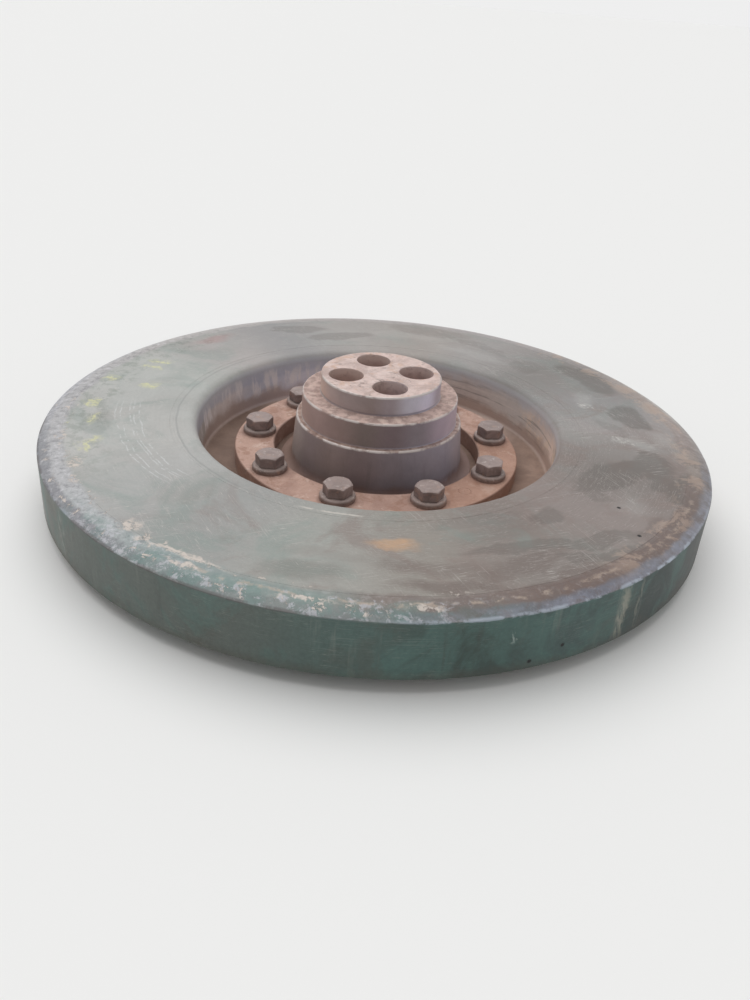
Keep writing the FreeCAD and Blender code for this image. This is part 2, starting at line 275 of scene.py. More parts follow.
def drill(mesh, centre, radius, mouth, end, rounding=0.5 * MM, floor=False, count=40, seed=3.0):
    """Adds a hole's wall. Returns its loops, as (centre, radius, points), for the faces at its mouth and far end."""
    rim = radius + RIM_ROUNDINGS * rounding
    profile = [(rim, mouth), (radius, mouth, rounding, 0.4)]
    if floor:
        profile += [(radius, end, rounding), (0, end)]
    else:
        profile += [(radius, end, rounding, 0.4), (rim, end)]
    lathe = Lathe(profile, count, False, seed, 20 * MM, 4, centre, 2.0, 0.8 * MM)
    points = lathe.points()
    skin(mesh, points, False)
    return tuple((centre, rim, [tuple(p) for p in ring]) for ring in (points[0], points[-1]))


def drill_circle(mesh, bolt_radius, mouth, end, rounding=0.5 * MM):
    """The holes for the nine bolts and the two dowels."""
    holes = [drill(mesh, c, bolt_radius, mouth, end, rounding) for c in BOLTS]
    return holes + [drill(mesh, c, DOWEL_R, mouth, end, 0.3 * MM) for c in DOWELS]


def finish_mesh(name, mesh, sharp=50):
    """Joins what touches, makes normals face out, and makes a smooth object of it."""
    bmesh.ops.remove_doubles(mesh, verts=mesh.verts, dist=2e-6)
    bmesh.ops.recalc_face_normals(mesh, faces=mesh.faces)
    data = bpy.data.meshes.new(name)
    mesh.to_mesh(data)
    mesh.free()
    data.polygons.foreach_set("use_smooth", [True] * len(data.polygons))
    data.set_sharp_from_angle(angle=math.radians(sharp))
    piece = bpy.data.objects.new(name, data)
    bpy.context.scene.collection.objects.link(piece)
    return piece


def turned(name, points, closed=True, sharp=50):
    """A piece whose skin is one set of rings."""
    mesh = bmesh.new()
    skin(mesh, points, closed)
    return finish_mesh(name, mesh, sharp)


def show(piece, node, material, body="wheel"):
    """The piece stands for a CAD node, rides with it and gets its material."""
    piece.data.materials.append(material)
    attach(piece, body)
    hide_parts(node)
    return piece


# ---------------------------------------------------------------- the pieces


def face_height(radius):
    """Height of the slightly coned front face."""
    return CASING_FRONT - (radius - COVER_IN) * math.tan(FACE_CONE)


def make_casing():
    """Trough, shoulders, recess wall and web in one closed section, with holes in its three flat faces."""
    front_inset = (face_height(CASING_R) - SIDE_HIGH) / (math.tan(SHOULDER_SLOPE) - math.tan(FACE_CONE))
    back_inset = (SIDE_LOW - CASING_BACK) / math.tan(SHOULDER_SLOPE)
    shoulder_r = CASING_R - front_inset
    seam = COVER_OUT + WELD_HALF
    corners = [
        (REGISTER_R, WEB_BACK),
        (BACK_RECESS_R, WEB_BACK, 6 * MM),
        (BACK_RECESS_R, CASING_BACK, 2.5 * MM, 0.3),
        (CASING_R - back_inset, CASING_BACK, 53 * MM),
        (CASING_R, SIDE_LOW, 1.2 * MM, 0.8),
        (CASING_R, SIDE_HIGH, 1.3 * MM, 0.9),
        (shoulder_r, face_height(shoulder_r), 52 * MM),
        (seam, face_height(seam), 0.25 * MM),
        (COVER_OUT, face_height(COVER_OUT) - WELD_DEPTH),
        (COVER_OUT, COVER_BACK),
        (TROUGH_OUT, COVER_BACK),
        (TROUGH_OUT, TROUGH_FLOOR, 3 * MM),
        (TROUGH_IN, TROUGH_FLOOR, 3 * MM),
        (TROUGH_IN, COVER_BACK),
        (COVER_IN, COVER_BACK),
        (COVER_IN, CASING_FRONT - WELD_DEPTH),
        (COVER_IN - WELD_HALF, CASING_FRONT, 0.25 * MM),
        (LIP_R, CASING_FRONT, 14 * MM, 0.06),
        (RECESS_R, WEB_FRONT, 6 * MM),
        (REGISTER_R, WEB_FRONT),
    ]
    lathe = Lathe(corners, WHEEL_COUNT, True, seed=4.0)
    points = lathe.points()
    depth = np.zeros(len(points))
    outside = list(range(lathe.first[2], lathe.first[7])) + list(range(lathe.last[17], lathe.first[18]))
    depth[outside] = 0.35 * MM
    flats = {"web back": 0, "bottom": 2, "web front": 18}  # the corner before each face that has holes
    for corner in flats.values():
        ring = lathe.last[corner]
        depth[ring - 8 : ring + 3] = 0
    points = uneven(points, True, depth, *FACE_UNEVEN)
    gaps, loops = set(), {}
    for name, corner in flats.items():
        near, far = lathe.last[corner] + 1, lathe.first[(corner + 1) % len(corners)] - 1
        gaps |= {near} | set(range(near, far))
        loops[name] = points[near], points[far]
    mesh = bmesh.new()
    skin(mesh, points, True, gaps)
    through = drill_circle(mesh, BOLT_HOLE_R, WEB_FRONT, WEB_BACK)
    inner, outer = loops["web back"]
    sheet_with_holes(mesh, outer, inner, [h[1] for h in through], WEB_BACK)
    outer, inner = loops["web front"]
    sheet_with_holes(mesh, outer, inner, [h[0] for h in through], WEB_FRONT)
    pockets = []
    for c in PLUGS:
        rim = PLUG_POCKET_R + RIM_ROUNDINGS * 0.5 * MM
        profile = [
            (rim, CASING_BACK),
            (PLUG_POCKET_R, CASING_BACK, 0.5 * MM),
            (PLUG_POCKET_R, PLUG_SEAT, 0.4 * MM),
            (PLUG_THREAD_R, PLUG_SEAT, 0.3 * MM),
            (PLUG_THREAD_R, TROUGH_FLOOR),
            (PLUG_THREAD_R + MM, TROUGH_FLOOR),
        ]
        wall = Lathe(profile, 40, False, step=20 * MM, steps=3, centre=c, guard=0.8 * MM).points()
        skin(mesh, wall, False)
        pockets.append((c, rim, [tuple(p) for p in wall[0]]))
    inner, outer = loops["bottom"]
    sheet_with_holes(mesh, outer, inner, pockets, CASING_BACK)
    return finish_mesh("casing_shell", mesh)


def make_cover():
    corners = [
        (COVER_IN, COVER_BACK),
        (COVER_OUT, COVER_BACK),
        (COVER_OUT, face_height(COVER_OUT) - WELD_DEPTH),
        (COVER_OUT - WELD_HALF, face_height(COVER_OUT - WELD_HALF), 0.25 * MM),
        (COVER_IN + WELD_HALF, face_height(COVER_IN + WELD_HALF), 0.25 * MM),
        (COVER_IN, CASING_FRONT - WELD_DEPTH),
    ]
    lathe = Lathe(corners, WHEEL_COUNT, True, seed=4.0, step=9 * MM)
    points = lathe.points()
    depth = np.zeros(len(points))
    depth[lathe.last[3] + 1 : lathe.first[4]] = 0.45 * MM
    return turned("cover_ring", uneven(points, True, depth, *FACE_UNEVEN))


def make_weld(name, radius):
    """A ground-flush seam, a V in section."""
    outer, inner = radius + WELD_HALF, radius - WELD_HALF
    corners = [
        (radius, face_height(radius) - WELD_DEPTH),
        (outer, face_height(outer) - 0.15 * MM),
        (inner, min(face_height(inner), CASING_FRONT) - 0.15 * MM),
    ]
    lathe = Lathe(corners, WHEEL_COUNT, True, seed=6.0, step=1.2 * MM, guard=0.4 * MM)
    points = lathe.points()
    depth = np.zeros(len(points))
    depth[lathe.last[1] : lathe.first[2] + 1] = 0.35 * MM
    return turned(name, uneven(points, True, depth, 90, 7.0))


def make_hub():
    """Flange, register, conical body, two steps and the end with its four sockets."""
    corners = [
        (0, SPIGOT_DEPTH),
        (SPIGOT_R, SPIGOT_DEPTH, 0.5 * MM),
        (SPIGOT_R, 0, 0.8 * MM),
        (HUB_R, 0, 2 * MM, 0.3),
        (HUB_R, WEB_BACK, 0.6 * MM),
        (REGISTER_R, WEB_BACK),
        (REGISTER_R, REGISTER_TOP, 0.7 * MM, 0.4),
        (BODY_R, REGISTER_TOP, 14 * MM),
        (BODY_TOP_R, BODY_TOP, 2.8 * MM, 0.35),
        (TIER_R, BODY_TOP, 1.2 * MM),
        (TIER_R, TIER_TOP, 2.8 * MM, 0.35),
        (BOSS_R, TIER_TOP, 1.2 * MM),
        (BOSS_R, BOSS_TOP, 2.4 * MM, 0.4),
        (0, BOSS_TOP),
    ]
    lathe = Lathe(corners, HUB_COUNT, False, seed=8.0, step=7 * MM)
    points = lathe.points()
    depth = np.full(len(points), 0.3 * MM)
    flats = {"back": 2, "flange": 4, "end": 12}  # the corner before each face that has holes
    depth[: lathe.last[7]] = 0
    depth[lathe.last[flats["end"]] - 8 :] = 0
    points = uneven(points, False, depth, 30, 5.0)
    gaps, loops = set(), {}
    for name, corner in flats.items():
        near, far = lathe.last[corner] + 1, lathe.first[corner + 1] - 1
        loops[name] = points[near], points[far]
        gaps |= set(range(near, len(points) if name == "end" else far))
    mesh = bmesh.new()
    skin(mesh, points, False, gaps)
    through = drill_circle(mesh, BOLT_R, 0.0, WEB_BACK, 0.4 * MM)
    tapped = []
    for k in range(8):
        c = polar(MOUNT_RING, INDEX + math.radians(22.5 + 45 * k))
        tapped.append(drill(mesh, c, TAPPED_R, 0.0, MOUNT_DEPTH, 0.8 * MM, True, seed=20.0 + k)[0])
    inner, outer = loops["back"]
    sheet_with_holes(mesh, outer, inner, [h[0] for h in through] + tapped, 0.0)
    outer, inner = loops["flange"]
    sheet_with_holes(mesh, outer, inner, [h[1] for h in through], WEB_BACK)
    sockets = []
    for k, c in enumerate(SOCKETS):
        sockets.append(drill(mesh, c, SOCKET_R, BOSS_TOP, SOCKET_FLOOR, 1.1 * MM, True, 72, 40.0 + k)[0])
    sheet_with_holes(mesh, loops["end"][0], None, sockets, BOSS_TOP)
    return finish_mesh("stub_hub", mesh)


def make_clamp_ring():
    """The ring under the washers."""
    corners = [
        (RING_IN, WEB_FRONT, 0.5 * MM),
        (RING_OUT, WEB_FRONT, 0.5 * MM),
        (RING_OUT, CLAMP_TOP, 1.8 * MM, 0.35),
        (RING_IN, CLAMP_TOP, 1.8 * MM, 0.35),
    ]
    lathe = Lathe(corners, HUB_COUNT, True, seed=12.0, step=60 * MM)
    points = lathe.points()
    top = lathe.last[2] + 1, lathe.first[3] - 1
    bottom = lathe.last[0] + 1, lathe.first[1] - 1
    mesh = bmesh.new()
    skin(mesh, points, True, set(range(*top)) | set(range(*bottom)))
    through = drill_circle(mesh, BOLT_HOLE_R, CLAMP_TOP, WEB_FRONT)
    sheet_with_holes(mesh, points[top[0]], points[top[1]], [h[0] for h in through], CLAMP_TOP)
    sheet_with_holes(mesh, points[bottom[1]], points[bottom[0]], [h[1] for h in through], WEB_FRONT)
    return finish_mesh("rust_ring", mesh)


def soft_min(a, b, width):
    """The smaller of two arrays, with the corner between them rounded off."""
    return -width * np.logaddexp(-a / width, -b / width)


def make_bolt(number):
    """Hex bolt with a chamfered head, as turned as the CAD one, and a plain shank with a few thread ridges."""
    cx, cy = BOLTS[number]
    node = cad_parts[f"flange_bolt_{number + 1}"]
    corner_r = HEX_FLAT_R * 2 / math.sqrt(3)
    tip = next(v.co for v in node.data.vertices if math.hypot(v.co.x - cx, v.co.y - cy) > 0.999 * corner_r)
    turn = math.atan2(tip.y - cy, tip.x - cx)
    angles = np.arange(BOLT_COUNT) * 2 * math.pi / BOLT_COUNT
    ones = np.ones(BOLT_COUNT)
    hexagon = HEX_FLAT_R / np.cos(np.mod(angles, math.pi / 3) - math.pi / 6)
    hexagon = soft_min(hexagon, ones * (corner_r - 0.5 * MM), 0.25 * MM)
    shank = BOLT_R - 0.1 * MM
    z = BOLT_END + 2 * MM
    rings = [(0, BOLT_END), (shank - 4 * MM, BOLT_END), (shank - 2 * MM, BOLT_END), (shank, z)]
    while z < WEB_BACK - THREAD_PITCH:
        rings += [(shank - THREAD_DEPTH, z + THREAD_PITCH / 2), (shank, z + THREAD_PITCH)]
        z += THREAD_PITCH
    rings += [(shank, z + 2 * MM), (shank, WASHER_TOP)]
    rings += [(hexagon * k, WASHER_TOP) for k in (0.8, 0.95)]
    head_start = len(rings)
    height = HEAD_TOP - WASHER_TOP
    for level in (0.02, 0.06, 0.2, 0.4, 0.6, 0.75, 0.83, 0.88, 0.91, 0.935, 0.955, 0.97, 0.982, 0.992):
        below = (1 - level) * height
        chamfer = ones * (HEX_FLAT_R * 0.965 + below / math.tan(math.radians(30)))
        foot = 0.35 * MM * max(0.0, 1 - level / 0.05)
        rings.append((soft_min(hexagon, chamfer, 0.2 * MM) - foot, HEAD_TOP - below))
    top_r = rings[-1][0].min()
    rings.append((top_r - 0.35 * MM, HEAD_TOP - 0.02 * MM))
    rings += [(top_r * k, HEAD_TOP - 0.06 * MM * (1 - k)) for k in (0.93, 0.8, 0.6, 0.4, 0.2, 0)]
    cos, sin = np.cos(angles + turn), np.sin(angles + turn)
    points = np.array([np.stack([cx + r * cos, cy + r * sin, h * ones], -1) for r, h in rings])
    depth = np.where(np.arange(len(rings)) >= head_start, 0.4 * MM, 0.0)
    depth[-1] = 0
    points = uneven(points, False, depth, 95, 10.0 + number)
    return turned(f"hex_bolt_{number + 1}", points, False, 35)


def make_washer(number):
    corners = [
        (BOLT_HOLE_R, CLAMP_TOP, 0.4 * MM),
        (WASHER_R - 0.1 * MM, CLAMP_TOP, 0.5 * MM, 0.3),
        (WASHER_R, WASHER_TOP, 3.4 * MM, 0.3),
        (BOLT_HOLE_R, WASHER_TOP, 0.5 * MM),
    ]
    lathe = Lathe(corners, BOLT_COUNT, True, 60.0 + number, 3 * MM, centre=BOLTS[number], chips=2.0)
    points = uneven(lathe.points(), True, np.full(len(lathe.rings), 0.25 * MM), 110, 30.0 + number)
    return turned(f"thick_washer_{number + 1}", points)


def make_dowel(number):
    low, high = heights(f"dowel_pin_{number + 1}")
    radius = DOWEL_R - 0.05 * MM
    corners = [
        (0, low),
        (radius, low, 1 * MM),
        (radius, high, 0.9 * MM, 0.3),
        (1.5 * MM, high, 0.4 * MM),
        (0, high - 1 * MM),
    ]
    lathe = Lathe(corners, 64, False, 80.0 + number, 4 * MM, centre=DOWELS[number])
    return turned(f"locating_pin_{number + 1}", lathe.points(), False)


# ---------------------------------------------------------------- material tools


def rgb(red, green, blue):
    """Linear colour from 0-255 screen values."""
    shares = (red / 255, green / 255, blue / 255)
    return tuple(((c + 0.055) / 1.055) ** 2.4 if c > 0.04 else c / 12.92 for c in shares) + (1.0,)


class Look:
    """A material written as sums and mixes of node sockets. Places are in the row frame."""

    def __init__(self, name):
        self.material = bpy.data.materials.new(name)
        self.material.use_nodes = True
        self.tree = self.material.node_tree
        self.tree.nodes.clear()
        self.place = self.node("ShaderNodeTexCoord").outputs["Object"]
        parts = self.node("ShaderNodeSeparateXYZ", Vector=self.place).outputs
        self.x, self.y, self.z = parts
        self.r = self.length(self.x, self.y)
        self.over = self.calc("DIVIDE", 1.0, self.calc("MAXIMUM", self.r, 0.001))
        turns = self.calc("DIVIDE", self.calc("ARCTAN2", self.y, self.x), 2 * math.pi)
        self.turn = self.calc("FRACT", self.calc("ADD", turns, 1.0))

    def node(self, kind, settings=None, **inputs):
        made = self.tree.nodes.new(kind)
        for key, value in (settings or {}).items():
            setattr(made, key, value)
        for key, value in inputs.items():
            self.feed(made.inputs[key.replace("_", " ")], value)
        return made

    def feed(self, socket, value):
        if isinstance(value, bpy.types.NodeSocket):
            self.tree.links.new(value, socket)
        else:
            socket.default_value = value

    def calc(self, what, a, b=0.0):
        made = self.tree.nodes.new("ShaderNodeMath")
        made.operation = what
        self.feed(made.inputs[0], a)
        self.feed(made.inputs[1], b)
        return made.outputs[0]

    def times(self, *values):
        out = values[0]
        for value in values[1:]:
            out = self.calc("MULTIPLY", out, value)
        return out

    def chain(self, what, values):
        """Joins the values by one operation. A tuple among them is a product."""
        values = [self.times(*v) if isinstance(v, tuple) else v for v in values]
        out = values[0]
        for value in values[1:]:
            out = self.calc(what, out, value)
        return out

    def plus(self, *values):
        return self.chain("ADD", values)

    def less(self, *values):
        return self.chain("SUBTRACT", values)

    def most(self, *values):
        return self.chain("MAXIMUM", values)

    def length(self, dx, dy):
        """Length of a level offset."""
        return self.calc("SQRT", self.plus(self.times(dx, dx), self.times(dy, dy)))

    def away(self, x, y):
        """Distance from a line along the axis."""
        return self.length(self.less(self.x, x), self.less(self.y, y))

    def step(self, value, low, high):
        """0 up to low, 1 from high, smooth between. low above high turns it round. Smoothstep keeps within 0 and 1
        by itself, and the node's own clamp would make the paint too large for the renderer."""
        made = self.node("ShaderNodeMapRange", {"interpolation_type": "SMOOTHSTEP", "clamp": False}, Value=value)
        if low > high:
            low, high = high, low
            made.inputs["To Min"].default_value, made.inputs["To Max"].default_value = 1.0, 0.0
        made.inputs["From Min"].default_value = low
        made.inputs["From Max"].default_value = high
        return made.outputs["Result"]

    def patch(self, low, high, *noise_):
        """Ragged patches: a noise stepped from 0 at low to 1 at high."""
        return self.step(self.noise(*noise_), low, high)

    def band(self, value, low, high, soft):
        """1 between low and high, 0 outside."""
        return self.times(self.step(value, low - soft, low + soft), self.step(value, high + soft, high - soft))

    def mix(self, amount, a, b):
        made = self.tree.nodes.new("ShaderNodeMix")
        made.data_type = "RGBA"
        self.feed(made.inputs["Factor"], amount)
        self.feed(made.inputs[6], a)
        self.feed(made.inputs[7], b)
        return made.outputs[2]

    def paint(self, colour, screen, *masks):
        """A colour with a layer of another over it, where all the masks are."""
        return self.mix(self.times(*masks), colour, rgb(*screen))

    def scale(self, colour, factor):
        made = self.node("ShaderNodeVectorMath", {"operation": "SCALE"}, Scale=factor)
        self.feed(made.inputs[0], colour)
        return made.outputs[0]

    def ramp(self, value, stops):
        """Colour that runs through (place, colour) stops."""
        made = self.node("ShaderNodeValToRGB", Fac=value)
        ramp = made.color_ramp
        ramp.interpolation = "EASE"
        for place, colour in stops[1:-1]:
            ramp.elements.new(place).color = colour
        ramp.elements[0].position, ramp.elements[0].color = stops[0]
        ramp.elements[-1].position, ramp.elements[-1].color = stops[-1]
        return made.outputs[0]

    def sector(self, angle, half, soft):
        """1 within half degrees of an angle round the wheel, fading to 0 over soft degrees more."""
        a = math.radians(angle)
        facing = self.plus(self.times(self.x, self.over, math.cos(a)), self.times(self.y, self.over, math.sin(a)))
        return self.step(facing, math.cos(math.radians(min(180, half + soft))), math.cos(math.radians(half)))

    def shifted(self, by):
        """The same places moved, so that two noises of a size don't match."""
        made = self.node("ShaderNodeVectorMath", {"operation": "ADD"})
        self.feed(made.inputs[0], self.place)
        made.inputs[1].default_value = (by, 1.7 * by, -2.3 * by)
        return made.outputs[0]

    def ragged(self, value, grain, amount):
        """A value disturbed by noise, so that an edge drawn from it is uneven."""
        return self.plus(value, self.times(self.less(self.noise(grain, 5.0, 0.62), 0.5), 2 * amount))

    def noise(self, scale, detail=4.0, rough=0.55, bend=0.0, at=None):
        """Noise about 0.5. at is other places, or how far the same places are shifted."""
        if isinstance(at, float):
            at = self.shifted(at)
        size = {"Scale": float(scale), "Detail": float(detail), "Roughness": rough, "Distortion": bend}
        made = self.node("ShaderNodeTexNoise", **size)
        self.feed(made.inputs["Vector"], self.place if at is None else at)
        return made.outputs[0]

    def fibres(self, at, detail=4.0, rough=0.6):
        """Noise on stretched places, whose scale is the places' own."""
        return self.noise(1.0, detail, rough, 0.0, at)

    def vector(self, x, y, z):
        return self.node("ShaderNodeCombineXYZ", X=x, Y=y, Z=z).outputs[0]

    def spread(self, x, y, z):
        """Places scaled differently each way."""
        return self.vector(self.times(self.x, x), self.times(self.y, y), self.times(self.z, z))

    def stretched(self, along, across, rise=False):
        """Places drawn out round the axis, finer in radius, or with rise in radius and height together."""
        cos, sin = self.times(self.x, self.over), self.times(self.y, self.over)
        third = self.times(self.plus(self.r, self.z) if rise else self.r, across)
        return self.vector(self.times(cos, along), self.times(sin, along), third)

    def pushed(self, grain, amount, at=None):
        """Places pushed about by noise, so that shapes drawn on them have uneven outlines."""
        at = self.place if at is None else at
        noise_ = self.node("ShaderNodeTexNoise", Scale=float(grain), Detail=4.0, Roughness=0.6, Vector=at)
        back = self.node("ShaderNodeVectorMath", {"operation": "ADD"})
        self.feed(back.inputs[0], at)
        back.inputs[1].default_value = (-amount,) * 3
        push = self.node("ShaderNodeVectorMath", {"operation": "MULTIPLY_ADD"})
        self.feed(push.inputs[0], noise_.outputs["Color"])
        push.inputs[1].default_value = (2 * amount,) * 3
        self.feed(push.inputs[2], back.outputs[0])
        return push.outputs[0]

    def blob(self, at, radius, angle, height, size, soft=0.5, turn=0.0):
        """1 in an oval about a place on the wheel, drawn on the places at. size is (out, round, up) half widths."""
        a = math.radians(angle)
        mapping = self.node("ShaderNodeMapping", {"vector_type": "TEXTURE"}, Vector=at)
        mapping.inputs["Location"].default_value = (radius * math.cos(a), radius * math.sin(a), height)
        mapping.inputs["Rotation"].default_value = (0, 0, a + math.radians(turn))
        mapping.inputs["Scale"].default_value = size
        length = self.node("ShaderNodeVectorMath", {"operation": "LENGTH"})
        self.feed(length.inputs[0], mapping.outputs[0])
        return self.step(length.outputs["Value"], 1 + soft, 1 - soft)

    def bump(self, height, distance):
        return self.node("ShaderNodeBump", Height=height, Distance=distance, Strength=1.0).outputs[0]

    def surface(self, colour, rough, normal=None, metal=0.0, specular=0.5, coat=0.0, coat_rough=0.3):
        shader = self.node("ShaderNodeBsdfPrincipled")
        self.feed(shader.inputs["Base Color"], colour)
        self.feed(shader.inputs["Roughness"], rough)
        self.feed(shader.inputs["Metallic"], metal)
        shader.inputs["Specular IOR Level"].default_value = specular
        shader.inputs["Coat Weight"].default_value = coat
        shader.inputs["Coat Roughness"].default_value = coat_rough
        if normal is not None:
            self.feed(shader.inputs["Normal"], normal)
        self.node("ShaderNodeOutputMaterial", Surface=shader.outputs[0])
        return self.material


# ---------------------------------------------------------------- materials

# Screen colours
CREAM = 210, 199, 190
TAN = 182, 160, 144
RUST = 150, 104, 78
BLACK = 22, 22, 22

# Colours round the wheel, as (degrees from +X, red, green, blue). Each table ends as it starts.
# Front face colours, partly painted light: lighter at the left, where the lamp falls, and darker at the right.
FACE_COLOURS_AND_LIGHT = [
    (0, 147, 141, 139), (20, 137, 134, 133), (40, 126, 122, 119), (60, 148, 144, 142), (80, 154, 147, 142),
    (100, 157, 153, 150), (120, 144, 142, 142), (140, 165, 160, 158), (160, 169, 171, 167), (180, 172, 173, 170),
    (200, 177, 177, 174), (220, 166, 166, 164), (240, 151, 151, 149), (260, 155, 155, 150), (280, 139, 133, 126),
    (300, 127, 119, 114), (320, 135, 125, 121), (340, 122, 115, 111), (360, 143, 138, 135),
]
# Shoulder colours, partly painted light: lighter at the left and in painted shade at the right.
SHOULDER_COLOURS_AND_LIGHT = [
    (0, 149, 138, 134), (20, 162, 151, 145), (40, 148, 142, 139), (60, 164, 158, 157), (100, 170, 164, 162),
    (140, 178, 174, 172), (180, 174, 173, 174), (210, 178, 178, 180), (226, 172, 175, 176), (240, 145, 156, 155),
    (262, 136, 146, 142), (273, 130, 119, 113), (300, 111, 94, 87), (338, 115, 101, 95), (350, 145, 135, 128),
    (360, 149, 138, 134),
]
# Colours of the roll at the outer edge, partly painted light: lighter at the left, with a painted bluish sheen from
# 300 to 330 degrees.
ROLL_COLOURS_AND_SHEEN = [
    (0, 152, 144, 140), (20, 182, 177, 173), (90, 173, 169, 167), (140, 180, 179, 179), (180, 175, 175, 179),
    (200, 144, 145, 149), (226, 144, 143, 148), (240, 127, 138, 137), (262, 129, 134, 132), (280, 108, 117, 117),
    (300, 108, 108, 117), (320, 121, 121, 128), (345, 125, 122, 125), (360, 152, 144, 140),
]
# Side wall colours, with painted shade that makes the front (250 to 330 degrees) darkest.
SIDE_COLOURS_AND_SHADE = [
    (0, 159, 147, 139), (30, 140, 135, 128), (90, 118, 121, 114), (150, 140, 140, 137), (180, 173, 171, 173),
    (198, 165, 165, 163), (214, 107, 109, 104), (230, 96, 103, 98), (250, 89, 96, 91), (270, 74, 95, 90),
    (282, 55, 71, 66), (300, 68, 86, 83), (315, 58, 68, 66), (330, 73, 77, 75), (350, 128, 125, 126),
    (360, 159, 147, 139),
]
RECESS_COLOURS = [
    (0, 235, 211, 197), (14, 211, 194, 185), (30, 199, 190, 185), (60, 191, 176, 171), (95, 198, 189, 189),
    (120, 216, 212, 224), (140, 191, 191, 204), (160, 216, 204, 201), (182, 170, 161, 156), (210, 166, 163, 156),
    (330, 192, 180, 170), (360, 235, 211, 197),
]

# Colours round the stub, partly painted light: lit at the left and right, in painted shade at the front (260 to 280
# degrees).
BODY_COLOURS_AND_LIGHT = [
    (0, 167, 155, 157), (90, 163, 149, 146), (180, 177, 159, 150), (200, 167, 154, 150), (220, 149, 135, 135),
    (240, 148, 132, 129), (260, 138, 122, 122), (280, 139, 129, 134), (300, 153, 146, 155), (320, 166, 160, 172),
    (340, 177, 167, 174), (360, 167, 155, 157),
]
TIER_COLOURS_AND_LIGHT = [
    (0, 200, 181, 189), (90, 168, 152, 149), (180, 181, 155, 146), (200, 180, 153, 145), (220, 176, 151, 146),
    (240, 157, 135, 130), (262, 133, 119, 115), (280, 131, 116, 119), (300, 149, 140, 147), (320, 184, 169, 182),
    (340, 200, 183, 194), (360, 200, 181, 189),
]
# The end's side also has a painted highlight from 300 to 320 degrees.
BOSS_COLOURS_AND_LIGHT = [
    (0, 182, 169, 175), (90, 182, 169, 165), (180, 196, 173, 163), (200, 201, 176, 165), (220, 180, 161, 157),
    (240, 167, 151, 149), (262, 157, 142, 139), (280, 165, 153, 157), (300, 208, 206, 218), (320, 222, 218, 235),
    (340, 186, 175, 186), (360, 182, 169, 175),
]

# Ovals on the front face: (radius mm, degrees, half widths outwards and round in mm, turn in degrees, strength)
SMUDGES = [
    (340, -23, 84, 23, 66, 0.9), (394, -13, 27, 40, 20, 0.85), (416, -19, 17, 30, -40, 0.8),
    (330, -34, 30, 18, 10, 0.5), (436, -20, 22, 52, 0, 1.0), (332, -50.4, 20, 22, 0, 0.7), (391, 10, 34, 42, 10, 1.0),
    (400, 33, 26, 66, 0, 0.9), (384, -55, 112, 11, 71, 0.7), (424, -50, 70, 8, 66, 0.7), (300, -64, 14, 60, 0, 0.35),
    (387, 113, 22, 52, 0, 0.6), (342, 103, 20, 52, 8, 0.6), (404, 78, 26, 80, 0, 0.4), (352, 46, 32, 36, 0, 0.45),
    (352, 2, 12, 36, 30, 0.35), (372, 62, 16, 50, -20, 0.35), (392, -170, 26, 40, 0, 0.25),
]
BROWN_WEAR = [
    (420, -77, 15, 56, -6, 0.9), (398, -66, 14, 62, 8, 0.75), (430, -58, 14, 60, 0, 0.7),
    (408, -100, 18, 50, 12, 0.45), (372, -96, 10, 60, 0, 0.25), (382, -78, 15, 58, -6, 0.6),
    (330, -60, 20, 60, 0, 0.3), (436, -38, 10, 40, 0, 0.6),
]
PALE_WEAR = [
    (414, -161, 26, 70, 0, 0.55), (384, 160, 30, 60, 10, 0.45), (420, 176, 20, 60, 0, 0.35),
    (384, -4, 12, 20, 40, 0.45), (344, 22, 14, 26, -20, 0.45), (366, 84, 18, 70, 0, 0.3), (300, -150, 12, 60, 0, 0.3),
    (418, 0, 16, 24, 0, 0.4), (322, 62, 14, 60, 0, 0.35), (392, -32, 22, 26, 30, 0.35),
]
# Clumps of cream chips on the shoulder: (radius mm, degrees, half widths outwards and round in mm)
CHIP_CLUMPS = [
    (427, -152.6, 9, 13), (438, -147, 5, 9), (440, -163, 7, 9), (431, -129, 10, 13), (441, -124, 6, 14),
    (448, -116, 4, 22), (452, -98, 3, 26), (453, -82, 4, 16),
]
# Rubbed chalk ticks, as arcs about a place: (radius mm, degrees, arc radius mm, first and last degree of the arc)
CHALK = [
    (428, 172, 24, 60, 135), (408, 179, 22, 205, 275), (392, 155, 34, 230, 282), (372, 160, 32, 60, 112),
    (352, 163, 36, 236, 280), (424, -172, 22, -40, 35), (404, -176, 24, 100, 160), (414, -163, 22, -55, 15),
    (392, -159, 22, 180, 250), (432, -167, 16, 110, 185),
]
# Small dark pits: (radius, degrees, height) in metres
PITS = [
    (0.375, -35, face_height(0.375)), (0.423, -41, face_height(0.423)), (CASING_R, -67.4, 0.03),
    (CASING_R, -62.5, 0.042),
]
# Short pale scuffs, as ovals like SMUDGES
SCUFFS = [
    (364, -3.4, 2.2, 9, 22, 0.9), (356, -3.0, 2.0, 7, 26, 0.8), (348, -2.4, 2.2, 9, 20, 0.9),
    (341, -1.8, 2.0, 6, 24, 0.7), (352, -2.6, 15, 10, 22, 0.35), (341, 16.4, 2.0, 6, 20, 0.7),
    (334, 17.2, 2.2, 8, 16, 0.8), (327, 18.2, 2.0, 7, 20, 0.7), (334, 17.2, 11, 9, 18, 0.3),
]


def round_wheel(k, stops):
    """The colour of a table at each angle round the wheel."""
    return k.ramp(k.turn, [(angle / 360, rgb(*colour)) for angle, *colour in stops])


def ovals(k, at, places, soft=0.45):
    """The strongest of the listed ovals at each point."""
    mask = 0.0
    for radius, angle, out, along, turn, strength in places:
        oval = k.blob(at, radius * MM, angle, CASING_FRONT, (out * MM, along * MM, 0.05), soft, turn)
        mask = k.most(mask, (oval, strength))
    return mask


